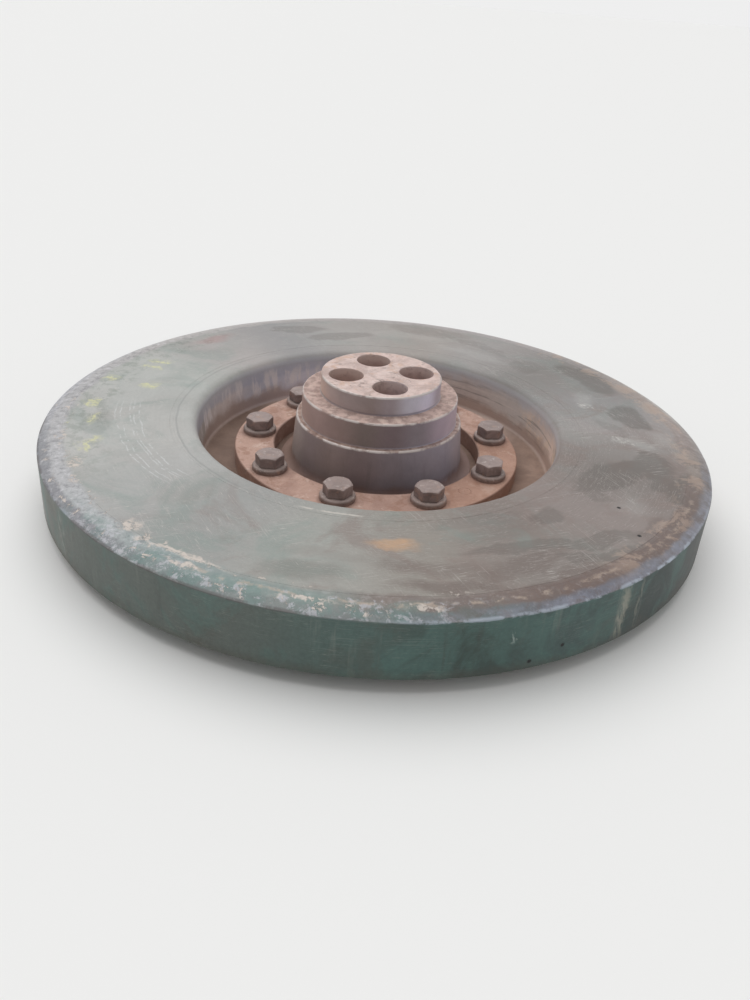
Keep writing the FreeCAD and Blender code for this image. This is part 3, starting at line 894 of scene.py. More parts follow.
def strokes(k, at, curves, thin, wide):
    """Thin arcs drawn by hand, and the wide smear round them."""
    x, y, _ = k.node("ShaderNodeSeparateXYZ", Vector=at).outputs
    line, smear = 0.0, 0.0
    for radius, angle, size, start, end in curves:
        cx, cy = polar(radius * MM, math.radians(angle))
        dx, dy = k.less(x, cx), k.less(y, cy)
        away = k.length(dx, dy)
        off = k.calc("ABSOLUTE", k.less(away, size * MM))
        middle, half = math.radians((start + end) / 2), math.radians((end - start) / 2)
        facing = k.calc("DIVIDE", k.plus((dx, math.cos(middle)), (dy, math.sin(middle))), k.most(away, 0.0001))
        here = k.step(facing, math.cos(min(math.pi, half + 0.15)), math.cos(half))
        line = k.most(line, k.times(k.step(off, thin, thin * 0.4), here))
        smear = k.most(smear, k.times(k.step(off, wide, wide * 0.4), here))
    return line, smear


def scratches(k, along, across, seed, cut, at=None):
    """Thin marks, long along one way."""
    lines = k.fibres(k.stretched(along, across) if at is None else at, 2.0, 0.5)
    width = k.calc("ABSOLUTE", k.less(lines, 0.5))
    here = k.patch(cut, cut + 0.1, 11, 4, 0.6, 0.5, k.shifted(seed))
    return k.times(k.step(width, 0.012, 0.003), here)


def paint_face(k, flow, fine, top, marks):
    """The hazy front face: drifting colours, wiped smudges, worn and stained places, scratches, chalk, scuffs
    and, at the left, the arcs that a rag left. flow and marks are the pushed places and the scratches."""
    soft = k.noise(7, 5, 0.6, 0.6)
    brushed = k.fibres(k.stretched(7, 260))
    # The face's colour round the wheel includes painted light, lighter at the left and darker at the right.
    colour = k.scale(round_wheel(k, FACE_COLOURS_AND_LIGHT), k.plus(0.8, (soft, 0.2), (fine, 0.14), (brushed, 0.12)))
    green = k.patch(0.46, 0.66, 9, 6, 0.66, 0.7, 3.1)
    green = k.times(green, k.plus(0.08, (k.sector(222, 70, 30), 0.34), (k.sector(60, 40, 30), 0.16)))
    colour = k.paint(colour, (122, 142, 136), green)
    brown = k.times(k.patch(0.46, 0.62, 8, 6, 0.66, 0.8, 8.4), k.plus(0.08, (k.sector(-50, 60, 30), 0.45)))
    colour = k.paint(colour, (128, 111, 105), brown)
    mottle = k.times(
        k.patch(0.49, 0.58, 52, 7, 0.76, 0.1, 5.7), k.sector(172, 26, 22), k.step(k.ragged(k.r, 20, 0.03), 0.374, 0.4)
    )
    colour = k.paint(colour, (116, 125, 115), mottle, 0.48)
    dark = k.times(ovals(k, flow, SMUDGES, 0.16), k.plus(0.8, (k.noise(22, 5, 0.66), 0.3)), top)
    colour = k.paint(colour, (92, 87, 82), dark, 0.56)
    worn = k.times(ovals(k, flow, BROWN_WEAR), k.plus(0.4, (k.noise(30, 6, 0.7), 0.8)), top)
    colour = k.paint(colour, (104, 90, 84), worn, 0.85)
    pale = k.times(ovals(k, flow, PALE_WEAR, 0.7), k.plus(0.3, (k.noise(26, 6, 0.7, 0.3, 1.2), 0.9)), top)
    colour = k.paint(colour, (196, 196, 194), pale, 0.6)
    stain = k.blob(flow, 0.401, 136.5, CASING_FRONT, (0.014, 0.042, 0.05), 0.7)
    colour = k.paint(colour, (166, 118, 116), stain, 0.38)
    spot = k.blob(flow, 0.338, -84.2, CASING_FRONT, (0.01, 0.034, 0.05), 0.5)
    colour = k.paint(colour, (188, 152, 120), spot, top, k.plus(0.35, (fine, 0.8)))
    colour = k.paint(colour, (204, 199, 194), marks, 0.42)
    drawn, halo = strokes(k, flow, CHALK, 0.0044, 0.014)
    drawn = k.times(drawn, k.patch(0.38, 0.54, 170, 4, 0.7))
    halo = k.times(halo, k.patch(0.4, 0.6, 60, 4, 0.7))
    colour = k.paint(colour, (206, 205, 158), k.most(drawn, (halo, 0.45)), top, 0.8)
    rubbed = k.times(ovals(k, k.pushed(130, 0.0028), SCUFFS, 0.35), k.patch(0.36, 0.56, 120, 5, 0.7))
    colour = k.paint(colour, (206, 203, 199), rubbed, top, 0.85)
    drift = 0.26  # metres that the wiped arcs move inwards in a turn
    spiral = k.plus(k.ragged(k.r, 9, 0.01), (k.turn, drift))
    wiped = 0.0
    for radius, angle in ((374, 183), (366, 184), (354, 185), (349, 186), (340, 188)):
        away = k.calc("ABSOLUTE", k.less(spiral, radius * MM + drift * angle / 360))
        wiped = k.most(wiped, k.step(away, 0.0013, 0.0004))
    wiped = k.times(wiped, k.sector(202, 15, 9), k.patch(0.42, 0.56, 60, 5, 0.7), top)
    return k.paint(colour, (204, 206, 206), wiped, 0.55)


def paint_shoulder(k, colour, flow, rag, fine, front):
    """The rolled edge: lilac haze at the left, teal and cream at the front left, dark and tan at the right. Its
    colours round the wheel are partly painted light, lighter at the left and shaded at the right, with a painted
    bluish sheen at the front right.
    """
    left, front_left = k.sector(190, 42, 22), k.sector(253, 26, 12)
    front_right, right = k.sector(-44, 34, 16), k.sector(8, 26, 16)
    zone = k.times(k.step(k.ragged(k.r, 22, 0.012), 0.43, 0.44), front)
    roll = k.step(k.ragged(k.r, 26, 0.008), 0.4535, 0.46)
    slope = k.mix(roll, round_wheel(k, SHOULDER_COLOURS_AND_LIGHT), round_wheel(k, ROLL_COLOURS_AND_SHEEN))
    crackle = k.noise(105, 8, 0.78, 0.3, 1.7)
    slope = k.paint(slope, (116, 114, 120), k.step(crackle, 0.5, 0.6), k.plus(0.2, (left, 0.32)))
    slope = k.paint(slope, (212, 210, 215), k.step(crackle, 0.47, 0.39), k.plus(0.12, (left, 0.36)))
    teal = k.times(k.patch(0.42, 0.58, 24, 6, 0.7, 0.3, 4.9), front_left, k.step(k.r, 0.438, 0.45))
    slope = k.paint(slope, (100, 132, 127), teal, 0.46)
    lilac = k.times(
        k.patch(0.53, 0.58, 58, 8, 0.76, 0.4, 8.8), front_left, k.step(k.ragged(k.r, 22, 0.01), 0.441, 0.447)
    )
    slope = k.paint(slope, (186, 186, 192), lilac, 0.7)
    brown = k.times(k.patch(0.47, 0.6, 28, 6, 0.7, 0.6, 2.9), k.most(front_right, (right, 0.4)))
    slope = k.paint(slope, (108, 96, 92), brown, 0.55)
    sheen = k.times(
        k.patch(0.6, 0.44, 40, 6, 0.7, 0.3, 1.7),
        k.step(k.ragged(k.r, 30, 0.006), 0.457, 0.464),
        k.sector(-48, 26, 12),
    )
    slope = k.paint(slope, (158, 163, 180), sheen, 0.27)
    colour = k.mix(zone, colour, slope)
    line = k.band(k.ragged(k.r, 34, 0.012), 0.446, 0.45, 0.0022)
    line = k.times(
        line, k.most(k.sector(-88, 22, 10), (k.sector(-48, 20, 10), 0.7)), k.patch(0.48, 0.58, 46, 7, 0.74)
    )
    colour = k.paint(colour, (190, 172, 156), line, front, 0.6)
    edge_tan = k.times(
        k.patch(0.5, 0.58, 24, 7, 0.72, 0.5, 7.6), k.most(k.sector(16, 34, 14), (k.sector(-39, 8, 8), 0.9))
    )
    colour = k.paint(colour, TAN, edge_tan, k.band(k.r, 0.424, 0.46, 0.008), front, 0.44)
    flakes = k.patch(0.575, 0.6, 64, 8, 0.75, 0.5, 6.2)
    bands = k.times(
        k.band(k.ragged(k.r, 18, 0.016), 0.429, 0.443, 0.004),
        k.most(k.sector(216, 30, 12), (k.sector(262, 18, 10), 0.8)),
    )
    low_bands = k.times(
        k.band(k.ragged(k.r, 16, 0.01), 0.4545, 0.465, 0.002), k.most(k.sector(238, 30, 10), (left, 0.5))
    )
    streak = k.blob(rag, 0.4335, -117.5, CASING_FRONT, (0.0036, 0.048, 0.05), 0.5)
    clumps = 0.0
    for radius, angle, out, along in CHIP_CLUMPS:
        clumps = k.most(clumps, k.blob(rag, radius * MM, angle, CASING_FRONT, (out * MM, along * MM, 0.05), 0.5))
    clumps = k.times(clumps, k.patch(0.47, 0.53, 90, 7, 0.74, 0.3, 9.9))
    chips = k.times(k.most((flakes, k.most(bands, low_bands)), clumps, (streak, k.step(fine, 0.36, 0.46))), front)
    return k.paint(colour, CREAM, chips, 0.85), chips


def paint_side(k, rag, fine, grit):
    """The dark green side wall with drips, dirt and scrapes, and painted shade that darkens its front."""
    wall = round_wheel(k, SIDE_COLOURS_AND_SHADE)
    patchy = k.noise(9, 6, 0.66, 0.8, 2.2)
    wall = k.paint(wall, (80, 112, 106), k.step(patchy, 0.48, 0.62), 0.5)
    wall = k.paint(wall, (82, 74, 66), k.patch(0.52, 0.66, 14, 6, 0.7, 0.5, 9.1), 0.28)
    wall = k.scale(wall, k.plus(0.66, (fine, 0.4), (grit, 0.24)))
    lines = k.fibres(k.spread(60, 60, 6))
    pale = k.times(k.step(lines, 0.57, 0.68), k.patch(0.44, 0.6, 9, 4, 0.6, 0.0, 5.5))
    wall = k.paint(wall, (140, 142, 134), pale, 0.22)
    wet = k.times(k.step(lines, 0.43, 0.33), k.patch(0.44, 0.6, 9, 4, 0.6, 0.0, 7.7))
    wall = k.paint(wall, (62, 66, 62), wet, 0.38)
    threads = k.fibres(k.vector(k.times(k.plus(k.x, (k.z, 0.22)), 300), k.times(k.y, 60), k.times(k.z, 34)), 5.0, 0.7)
    run = k.most(
        k.blob(rag, CASING_R, -52.0, 0.06, (0.06, 0.0064, 0.036), 0.6),
        (k.blob(rag, CASING_R, -48.6, 0.064, (0.06, 0.003, 0.028), 0.6), 0.6),
    )
    run = k.times(run, k.step(threads, 0.38, 0.52))
    wall = k.paint(wall, (160, 157, 143), run, 0.62)
    run_left = k.times(k.blob(rag, CASING_R, -141.5, 0.056, (0.06, 0.007, 0.034), 0.6), k.step(threads, 0.4, 0.58))
    wall = k.paint(wall, (156, 158, 150), run_left, 0.5)
    nick = k.times(k.blob(rag, CASING_R, -70.4, 0.07, (0.06, 0.002, 0.009), 0.6), k.step(threads, 0.4, 0.55))
    wall = k.paint(wall, (170, 182, 176), nick, 0.6)
    low = k.step(k.ragged(k.z, 30, 0.014), 0.036, 0.02)
    wall = k.paint(wall, (78, 74, 66), low, 0.42)
    scrape = scratches(k, 0, 0, 3.3, 0.48, k.vector(k.times(k.turn, 40), k.times(k.z, 420), 0.0))
    return k.paint(wall, (150, 156, 148), scrape, 0.25)


def paint_recess(k, fine, front):
    """Lip, inner wall and dusty web: slate at the far left, tan wear at the right, rust dust low down."""
    base = round_wheel(k, RECESS_COLOURS)
    inside = k.scale(base, k.plus(0.78, (k.noise(17, 6, 0.68, 0.5), 0.26), (fine, 0.18)))
    upper = k.band(k.ragged(k.z, 20, 0.012), 0.078, 0.1035, 0.005)
    inside = k.paint(inside, (164, 170, 192), upper, k.sector(132, 50, 24), 0.55)
    streaks = k.fibres(k.spread(48, 48, 9))
    pale = k.times(
        k.step(streaks, 0.5, 0.6), k.sector(146, 50, 20), k.band(k.ragged(k.z, 28, 0.02), 0.058, 0.09, 0.006)
    )
    inside = k.paint(inside, (232, 224, 224), pale, 0.7)
    tan = k.times(k.patch(0.47, 0.56, 30, 7, 0.72, 0.4, 3.4), k.sector(4, 14, 14), k.band(k.z, 0.05, 0.1, 0.008))
    inside = k.paint(inside, (232, 206, 184), tan, 0.7)
    rings = k.fibres(k.stretched(3, 170, True), 3.0)
    inside = k.paint(inside, (110, 104, 100), k.step(rings, 0.46, 0.36), k.sector(30, 60, 25), 0.5)
    inside = k.paint(inside, (222, 210, 202), k.step(rings, 0.54, 0.62), k.sector(30, 60, 25), 0.35)
    low = k.step(k.ragged(k.z, 22, 0.026), 0.068, 0.05)
    inside = k.mix(k.times(low, 0.7), inside, k.mix(fine, rgb(176, 150, 138), rgb(150, 124, 112)))
    dust = k.mix(k.patch(0.36, 0.64, 16, 6, 0.65, 0.5), rgb(168, 142, 127), rgb(136, 112, 99))
    dust = k.paint(dust, (200, 180, 170), k.sector(84, 44, 22), 0.6)
    # the web floor darker at the far left and at the right
    dust = k.paint(dust, (104, 84, 74), k.most(k.sector(176, 34, 14), (k.sector(12, 18, 12), 0.6)), 0.6)
    floor_dust = k.times(k.step(k.z, 0.045, 0.0395), k.step(k.r, 0.2545, 0.25))
    inside = k.mix(floor_dust, inside, dust)
    lip = k.times(k.band(k.ragged(k.r, 24, 0.003), 0.2565, 0.269, 0.0015), front)
    lip_shine = k.times(
        k.band(k.ragged(k.r, 40, 0.0016), 0.2585, 0.262, 0.0008),
        k.most(k.sector(20, 60, 24), (k.sector(150, 40, 24), 0.6)),
    )
    inside = k.paint(inside, (160, 158, 160), lip, 0.35)
    return k.paint(inside, (196, 198, 208), lip_shine, 0.6), floor_dust


def paint_look():
    """Old green machinery paint under haze, with smudges, scratches, chips, drips and rust."""
    k = Look("old_green_paint")
    flow = k.pushed(45, 0.006, k.pushed(8, 0.04))
    rag = k.pushed(70, 0.012)
    front = k.step(k.z, SIDE_HIGH - 2 * MM, SIDE_HIGH + MM)
    top = k.times(k.step(k.r, LIP_R + 2 * MM, LIP_R + 10 * MM), front)
    side = k.times(
        k.step(k.r, CASING_R - 2.5 * MM, CASING_R - 0.7 * MM),
        k.step(k.z, SIDE_HIGH + 0.7 * MM, SIDE_HIGH - 0.7 * MM),
        k.step(k.z, SIDE_LOW - 1.5 * MM, SIDE_LOW + 0.5 * MM),
    )
    under = k.step(k.z, SIDE_LOW + 0.5 * MM, SIDE_LOW - 2 * MM)
    inner = k.times(
        k.step(k.r, LIP_R + 4 * MM, LIP_R - 4 * MM), k.step(k.z, SIDE_LOW + 1.5 * MM, SIDE_LOW + 3.5 * MM)
    )
    fine = k.noise(60, 6, 0.68)
    grit = k.noise(240, 4, 0.7)

    arcs = scratches(k, 9, 420, 5.0, 0.46)
    crossing = scratches(k, 0, 0, 2.0, 0.5, k.vector(k.times(k.plus(k.x, (k.y, 0.6)), 260), k.times(k.y, 9), 0.0))
    slanting = scratches(k, 0, 0, 7.0, 0.5, k.vector(k.times(k.x, 10), k.times(k.less(k.y, (k.x, 0.4)), 230), 4.0))
    near_lip = k.times(scratches(k, 14, 900, 1.4, 0.38), k.step(k.r, 0.33, 0.28), 0.8)
    marks = k.times(k.most((arcs, 0.8), crossing, slanting, near_lip), top)
    colour = paint_face(k, flow, fine, top, marks)
    dashes = k.times(
        k.band(k.ragged(k.r, 30, 0.003), 0.2835, 0.2868, 0.0008), k.sector(-98, 6, 5), k.patch(0.4, 0.52, 50, 5, 0.7)
    )
    colour = k.paint(colour, (208, 202, 194), dashes, top, 0.7)
    arc = k.times(k.band(k.ragged(k.r, 22, 0.003), 0.286, 0.2885, 0.0009), k.sector(186, 40, 25), top)
    colour = k.paint(colour, (124, 126, 126), arc, 0.35)
    colour, chips = paint_shoulder(k, colour, flow, rag, fine, front)
    colour = k.mix(side, colour, paint_side(k, rag, fine, grit))

    arris = k.times(k.step(k.r, 0.4655, 0.4685), k.band(k.ragged(k.z, 40, 0.002), 0.0932, 0.0968, 0.0008))
    # The S arris: worn bare edge and a painted bluish highlight, strongest at the front right.
    bright = k.times(
        arris, k.plus(0.12, (k.sector(-60, 18, 12), 0.9), (k.sector(-20, 20, 14), 0.4), (k.sector(200, 24, 20), 0.3))
    )
    bright = k.times(bright, k.patch(0.42, 0.54, 34, 7, 0.74, 0.2, 3.9))
    colour = k.paint(colour, (170, 178, 190), bright, 0.7)
    dull = k.times(arris, k.sector(226, 34, 14), k.patch(0.38, 0.5, 30, 6, 0.7, 0.2, 5.9))
    colour = k.paint(colour, (84, 76, 74), dull, 0.6)

    inside, floor_dust = paint_recess(k, fine, front)
    colour = k.mix(inner, colour, inside)
    back = k.mix(k.patch(0.38, 0.64, 9, 6, 0.65, 0.6), rgb(92, 106, 100), rgb(100, 94, 86))
    back = k.paint(back, RUST, k.patch(0.56, 0.66, 21, 6, 0.7, 0.4), 0.7)
    back = k.paint(back, (150, 148, 142), scratches(k, 8, 300, 2.6, 0.44), 0.4)
    colour = k.mix(under, colour, back)

    pits = 0.0
    for radius, angle, height in PITS:
        pits = k.most(pits, k.blob(k.place, radius, angle, height, (2.4 * MM,) * 3, 0.4))
    colour = k.paint(colour, BLACK, pits)
    colour = k.scale(colour, k.plus(0.91, (grit, 0.18)))

    bare = k.most(bright, chips, (marks, 0.5))
    rough = k.plus(0.5, (fine, 0.24), (bare, 0.08), (floor_dust, 0.2), (under, 0.12))
    height = k.plus((k.noise(26, 5, 0.55), 0.5), (fine, 0.28), (grit, 0.1))
    height = k.less(height, k.plus((chips, 0.3), (marks, 0.12), (pits, 1.0)))
    height = k.plus(height, (floor_dust, grit, 0.2))
    return k.surface(colour, rough, k.bump(height, 0.0009), specular=0.45, coat=0.1, coat_rough=0.45)


def hub_look():
    """Dark oily steel of the stub, with a dusty ledge, bright worn rims, drips and a scratched end. Its colours round
    the stub are partly painted light, with a painted highlight at the right, and painted shade darkens the sockets
    with depth and the foot of the body.
    """
    k = Look("stub_steel")
    fine = k.noise(90, 6, 0.65)
    grit = k.noise(380, 4, 0.7)
    turning = k.fibres(k.stretched(3, 900), 3.0)
    facing = k.times(k.step(k.z, BOSS_TOP - 0.0014, BOSS_TOP - 0.0004), k.step(k.r, BOSS_R, BOSS_R - 0.001))
    boss_side = k.times(k.step(k.z, TIER_TOP + 0.001, TIER_TOP + 0.003), k.less(1.0, facing))
    ledge = k.times(k.step(k.r, 0.0862, 0.0872), k.band(k.z, TIER_TOP - 0.0016, TIER_TOP + 0.0016, 0.0008))
    tier = k.band(k.z, BODY_TOP + 0.001, TIER_TOP - 0.001, 0.001)
    step_ = k.times(
        k.step(k.r, TIER_R + 0.0005, TIER_R + 0.0015), k.band(k.z, BODY_TOP - 0.002, BODY_TOP + 0.002, 0.001)
    )
    foot = k.step(k.ragged(k.z, 30, 0.012), 0.062, 0.046)

    cloud = k.plus(0.78, (k.noise(24, 6, 0.68, 0.6), 0.44))
    body = k.scale(round_wheel(k, BODY_COLOURS_AND_LIGHT), cloud)
    drips = k.fibres(k.spread(90, 90, 9))
    body = k.paint(body, (160, 144, 136), k.step(drips, 0.54, 0.7), 0.14)
    body = k.paint(body, (96, 86, 86), k.step(drips, 0.46, 0.3), 0.14)
    tier_colour = k.scale(round_wheel(k, TIER_COLOURS_AND_LIGHT), cloud)
    colour = k.mix(tier, body, tier_colour)
    # the side of the end, whose colour table holds a painted highlight at the right
    side_colour = k.scale(round_wheel(k, BOSS_COLOURS_AND_LIGHT), cloud)
    colour = k.mix(boss_side, colour, side_colour)
    ledge_colour = k.mix(k.step(fine, 0.38, 0.62), rgb(198, 173, 164), rgb(158, 136, 129))
    ledge_colour = k.paint(ledge_colour, (214, 196, 184), k.patch(0.56, 0.61, 70, 7, 0.7, 0.3, 2.9), 0.45)
    colour = k.mix(ledge, colour, ledge_colour)
    colour = k.mix(k.times(step_, 0.8), colour, k.mix(k.step(fine, 0.4, 0.6), rgb(190, 164, 150), rgb(140, 112, 102)))
    # painted shade: darker brown low on the body, in the gap by the clamp ring
    colour = k.mix(k.times(foot, 0.75), colour, k.mix(fine, rgb(150, 118, 104), rgb(112, 86, 76)))

    # the end face
    face = k.mix(k.patch(0.36, 0.64, 34, 6, 0.66, 0.5, 7.3), rgb(214, 192, 185), rgb(182, 160, 153))
    face = k.paint(face, (196, 160, 136), k.patch(0.54, 0.62, 52, 6, 0.7, 0.3, 3.6), 0.6)
    face = k.paint(face, (136, 118, 112), k.patch(0.58, 0.63, 80, 7, 0.72, 0.3, 9.6), 0.7)
    ticks = k.most(
        scratches(k, 0, 0, 1.1, 0.44, k.vector(k.times(k.plus(k.x, k.y), 420), k.times(k.y, 30), 0.0)),
        scratches(k, 0, 0, 6.1, 0.46, k.vector(k.times(k.x, 26), k.times(k.less(k.y, (k.x, 0.7)), 380), 2.0)),
    )
    face = k.paint(face, (236, 228, 224), ticks, 0.6)
    colour = k.mix(facing, colour, face)
    rims = k.most(
        k.times(
            k.band(k.z, BOSS_TOP - 0.003, BOSS_TOP - 0.0002, 0.0005), k.step(k.r, BOSS_R - 0.004, BOSS_R - 0.0022)
        ),
        k.times(
            k.band(k.z, TIER_TOP - 0.0032, TIER_TOP - 0.0004, 0.0006), k.step(k.r, TIER_R - 0.003, TIER_R - 0.0014)
        ),
    )
    rims = k.most(
        rims,
        (
            k.band(k.z, BODY_TOP - 0.0032, BODY_TOP - 0.0002, 0.0006),
            k.step(k.r, BODY_TOP_R - 0.0034, BODY_TOP_R - 0.0016),
        ),
    )
    rims = k.times(rims, k.patch(0.4, 0.54, 34, 5, 0.62, 0.3, 5.3))
    colour = k.paint(colour, (212, 204, 200), rims, 0.85)

    # socket walls, with painted shade that darkens them with depth, and darker brown patches
    hole = 0.0
    for x, y in SOCKETS:
        hole = k.most(hole, k.step(k.away(x, y), SOCKET_R + 0.0008, SOCKET_R - 0.0004))
    hole = k.times(
        hole,
        k.step(k.z, BOSS_TOP - 0.0004, BOSS_TOP - 0.002),
        k.step(k.z, SOCKET_FLOOR - 0.002, SOCKET_FLOOR - 0.0005),
    )
    bore = k.mix(
        k.step(k.ragged(k.z, 60, 0.01), BOSS_TOP - 0.006, BOSS_TOP - 0.022), rgb(226, 206, 198), rgb(200, 176, 168)
    )
    bore = k.paint(bore, (160, 136, 128), k.step(fine, 0.5, 0.66), 0.5)
    colour = k.mix(hole, colour, bore)

    under = k.step(k.z, 0.03, 0.024)
    back = k.mix(k.step(turning, 0.4, 0.6), rgb(142, 138, 136), rgb(118, 113, 112))
    back = k.paint(back, RUST, k.patch(0.54, 0.64, 30, 6, 0.7, 0.4), 0.7)
    colour = k.mix(under, colour, back)
    colour = k.scale(colour, k.plus(0.86, (fine, 0.16), (grit, 0.12)))

    shine = k.most(rims, (ticks, facing), (boss_side, 0.5))
    metal = k.plus(0.25, (shine, 0.35))
    rough = k.less(k.plus(0.5, (fine, 0.24), (ledge, 0.15), (foot, 0.15)), (shine, 0.14))
    lathe_marks = k.times(turning, k.plus(0.12, (k.most(tier, boss_side), 0.12), (under, 0.2)))
    height = k.plus((k.noise(50, 5, 0.6), 0.4), (fine, 0.3), (grit, 0.12), lathe_marks)
    height = k.less(height, (ticks, facing, 0.15))
    return k.surface(colour, rough, k.bump(height, 0.0007), metal=metal, specular=0.5)


def ring_look():
    """Salmon-brown rust and dust of the clamp ring, lighter where boots and rags rubbed it."""
    k = Look("rusty_ring")
    fine = k.noise(80, 6, 0.66)
    grit = k.noise(320, 4, 0.72)
    colour = k.mix(k.patch(0.36, 0.64, 20, 6, 0.66, 0.6), rgb(190, 157, 143), rgb(166, 134, 122))
    colour = k.paint(colour, (150, 112, 94), k.patch(0.5, 0.62, 46, 6, 0.7, 0.4, 3.3), 0.55)
    colour = k.paint(colour, (210, 188, 176), k.patch(0.54, 0.64, 34, 6, 0.7, 0.4, 7.1), 0.6)
    colour = k.paint(colour, (158, 118, 96), k.sector(-26, 30, 20), 0.5)
    rub = scratches(k, 12, 700, 4.1, 0.42)
    colour = k.paint(colour, (214, 192, 178), rub, 0.35)
    outer = k.step(k.r, RING_OUT - 0.0022, RING_OUT - 0.0008)
    colour = k.paint(colour, (142, 112, 100), outer, 0.55)
    bore = k.step(k.r, RING_IN + 0.003, RING_IN + 0.001)
    colour = k.paint(colour, (126, 104, 96), bore, 0.6)
    # darker rings round the washers: painted shade under the washers, with grime
    washer_shade_and_grime = 0.0
    for x, y in BOLTS:
        near = k.ragged(k.away(x, y), 90, 0.006)
        washer_shade_and_grime = k.most(washer_shade_and_grime, k.step(near, WASHER_R + 0.006, WASHER_R + 0.0002))
    colour = k.paint(colour, (128, 100, 90), washer_shade_and_grime, 0.5)
    colour = k.scale(colour, k.plus(0.84, (fine, 0.18), (grit, 0.16)))
    height = k.plus((k.noise(44, 5, 0.6), 0.5), (fine, 0.4), (grit, 0.3))
    return k.surface(colour, k.plus(0.66, (fine, 0.2)), k.bump(height, 0.0008), metal=0.05, specular=0.4)


def bolt_look(name, light, dark, rim):
    """Grimy forged steel of the bolts and washers, rubbed on the corners and dusted from above."""
    k = Look(name)
    fine = k.noise(120, 6, 0.66)
    grit = k.noise(420, 4, 0.72)
    colour = k.mix(k.patch(0.36, 0.64, 48, 6, 0.66, 0.5), rgb(*light), rgb(*dark))
    colour = k.paint(colour, (164, 134, 120), k.patch(0.54, 0.64, 90, 6, 0.7, 0.3, 4.7), 0.6)
    upper = k.step(k.z, rim - 0.0045, rim - 0.0008)
    colour = k.paint(colour, (170, 154, 148), upper, k.plus(0.15, (fine, 0.45)))
    scuffs = k.times(k.patch(0.58, 0.63, 150, 6, 0.7, 0.4, 8.3), k.step(k.z, rim - 0.007, rim - 0.002))
    colour = k.paint(colour, (200, 188, 182), scuffs, 0.5)
    low = k.step(k.ragged(k.z, 120, 0.002), CLAMP_TOP + 0.0035, CLAMP_TOP + 0.0005)
    colour = k.paint(colour, (144, 116, 104), low, 0.5)
    colour = k.scale(colour, k.plus(0.84, (fine, 0.18), (grit, 0.14)))
    height = k.plus((k.noise(70, 5, 0.6), 0.5), (fine, 0.4), (grit, 0.2))
    return k.surface(colour, k.plus(0.48, (fine, 0.25)), k.bump(height, 0.0006), metal=0.22, specular=0.5)


def inner_look(name, light, dark, stain, metal):
    """Turned metal of a part that sits out of sight."""
    k = Look(name)
    fine = k.noise(90, 5, 0.62)
    turning = k.fibres(k.stretched(3, 1100), 3.0)
    colour = k.mix(k.step(turning, 0.38, 0.62), rgb(*light), rgb(*dark))
    colour = k.paint(colour, stain, k.patch(0.52, 0.66, 30, 6, 0.68, 0.4), 0.45)
    colour = k.scale(colour, k.plus(0.88, (fine, 0.24)))
    height = k.plus((turning, 0.6), (fine, 0.3))
    return k.surface(colour, k.plus(0.3, (fine, 0.25)), k.bump(height, 0.0003), metal=metal)


paint = paint_look()
hub_metal = hub_look()
ring_rust = ring_look()
bolt_metal = bolt_look("bolt_steel", (150, 134, 131), (120, 106, 104), HEAD_TOP)
washer_metal = bolt_look("washer_steel", (150, 132, 126), (118, 104, 100), WASHER_TOP)
inner_metals = {
    "inertia_ring": inner_look("ring_steel", (150, 150, 152), (118, 118, 122), (128, 112, 96), 0.85),
    "bearing_bush": inner_look("bush_bronze", (176, 140, 88), (140, 106, 62), (104, 84, 56), 0.8),
    "thrust_ring": inner_look("thrust_bronze", (182, 146, 92), (146, 112, 68), (104, 84, 56), 0.8),
    "fill_plug": inner_look("plug_steel", (120, 118, 116), (92, 90, 90), (128, 92, 70), 0.6),
    "plug_seal": inner_look("seal_copper", (176, 116, 84), (140, 88, 62), (96, 84, 70), 0.8),
}

show(make_casing(), "casing", paint)
show(make_cover(), "cover_plate", paint)
show(make_weld("seam_inner", COVER_IN), "cover_weld_inner", paint)
show(make_weld("seam_outer", COVER_OUT), "cover_weld_outer", paint)
show(make_hub(), "hub", hub_metal)
show(make_clamp_ring(), "clamp_ring", ring_rust)
for n in range(9):
    show(make_bolt(n), f"flange_bolt_{n + 1}", bolt_metal)
    show(make_washer(n), f"bolt_washer_{n + 1}", washer_metal)
for n in range(2):
    show(make_dowel(n), f"dowel_pin_{n + 1}", ring_rust)
for node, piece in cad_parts.items():
    for start, material in inner_metals.items():
        if start in node:
            piece.data.materials.clear()
            piece.data.materials.append(material)

# ---------------------------------------------------------------- floor, light and camera


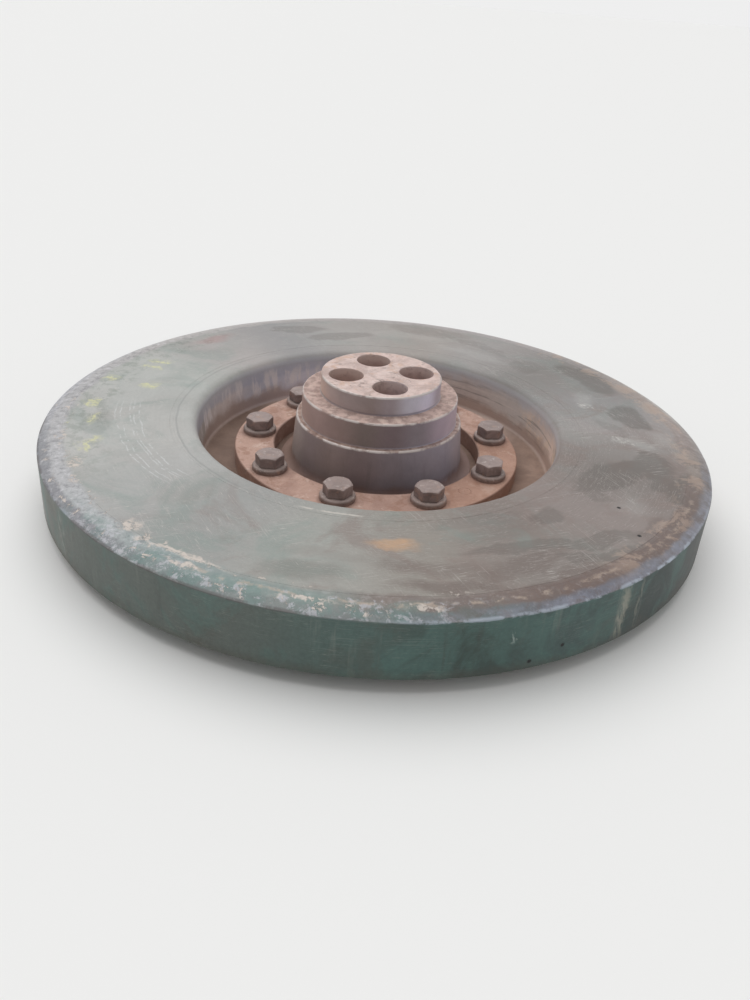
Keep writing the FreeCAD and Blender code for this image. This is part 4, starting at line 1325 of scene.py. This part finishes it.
def make_floor():
    data = bpy.data.meshes.new("floor")
    side = 60.0
    data.from_pydata([(-side, -side, 0), (side, -side, 0), (side, side, 0), (-side, side, 0)], [], [(0, 1, 2, 3)])
    floor = bpy.data.objects.new("floor", data)
    bpy.context.scene.collection.objects.link(floor)
    look = Look("pale_floor")
    data.materials.append(look.surface(rgb(236, 236, 235), 0.9))


def make_light():
    """One wide soft lamp far up behind the wheel, to the left."""
    lamp = bpy.data.lights.new("soft_lamp", "SUN")
    lamp.energy = 1.75
    lamp.angle = math.radians(70)
    holder = bpy.data.objects.new("soft_lamp", lamp)
    holder.rotation_mode = "QUATERNION"
    holder.rotation_quaternion = Vector((0.18, -0.34, -1.0)).to_track_quat("-Z", "Y")
    bpy.context.scene.collection.objects.link(holder)


def make_world():
    """Pale studio surroundings, brighter low down than overhead."""
    world = bpy.data.worlds.new("studio")
    world.use_nodes = True
    tree = world.node_tree
    place = tree.nodes.new("ShaderNodeTexCoord")
    parts = tree.nodes.new("ShaderNodeSeparateXYZ")
    rise = tree.nodes.new("ShaderNodeMapRange")
    rise.interpolation_type = "SMOOTHSTEP"
    rise.inputs["From Max"].default_value = 0.55
    rise.inputs["To Min"].default_value = 0.86
    rise.inputs["To Max"].default_value = 0.46
    tree.links.new(place.outputs["Generated"], parts.inputs[0])
    tree.links.new(parts.outputs["Z"], rise.inputs["Value"])
    tree.links.new(rise.outputs["Result"], tree.nodes["Background"].inputs["Strength"])
    tree.nodes["Background"].inputs["Color"].default_value = (1, 1, 1, 1)
    bpy.context.scene.world = world


def make_camera():
    data = bpy.data.cameras.new("camera")
    data.lens = 32.218
    data.sensor_width = 36
    camera = bpy.data.objects.new("camera", data)
    camera.location = (0.0, -1.1896, 0.6473)
    pan, tilt, roll = math.radians(-0.18), math.radians(60.25), math.radians(4.24)
    turn = Matrix.Rotation(pan, 3, "Z") @ Matrix.Rotation(tilt, 3, "X") @ Matrix.Rotation(roll, 3, "Z")
    camera.rotation_mode = "QUATERNION"
    camera.rotation_quaternion = turn.to_quaternion()
    bpy.context.scene.collection.objects.link(camera)
    bpy.context.scene.camera = camera


make_floor()
make_world()
make_light()
make_camera()
bpy.context.scene.view_settings.view_transform = "Standard"
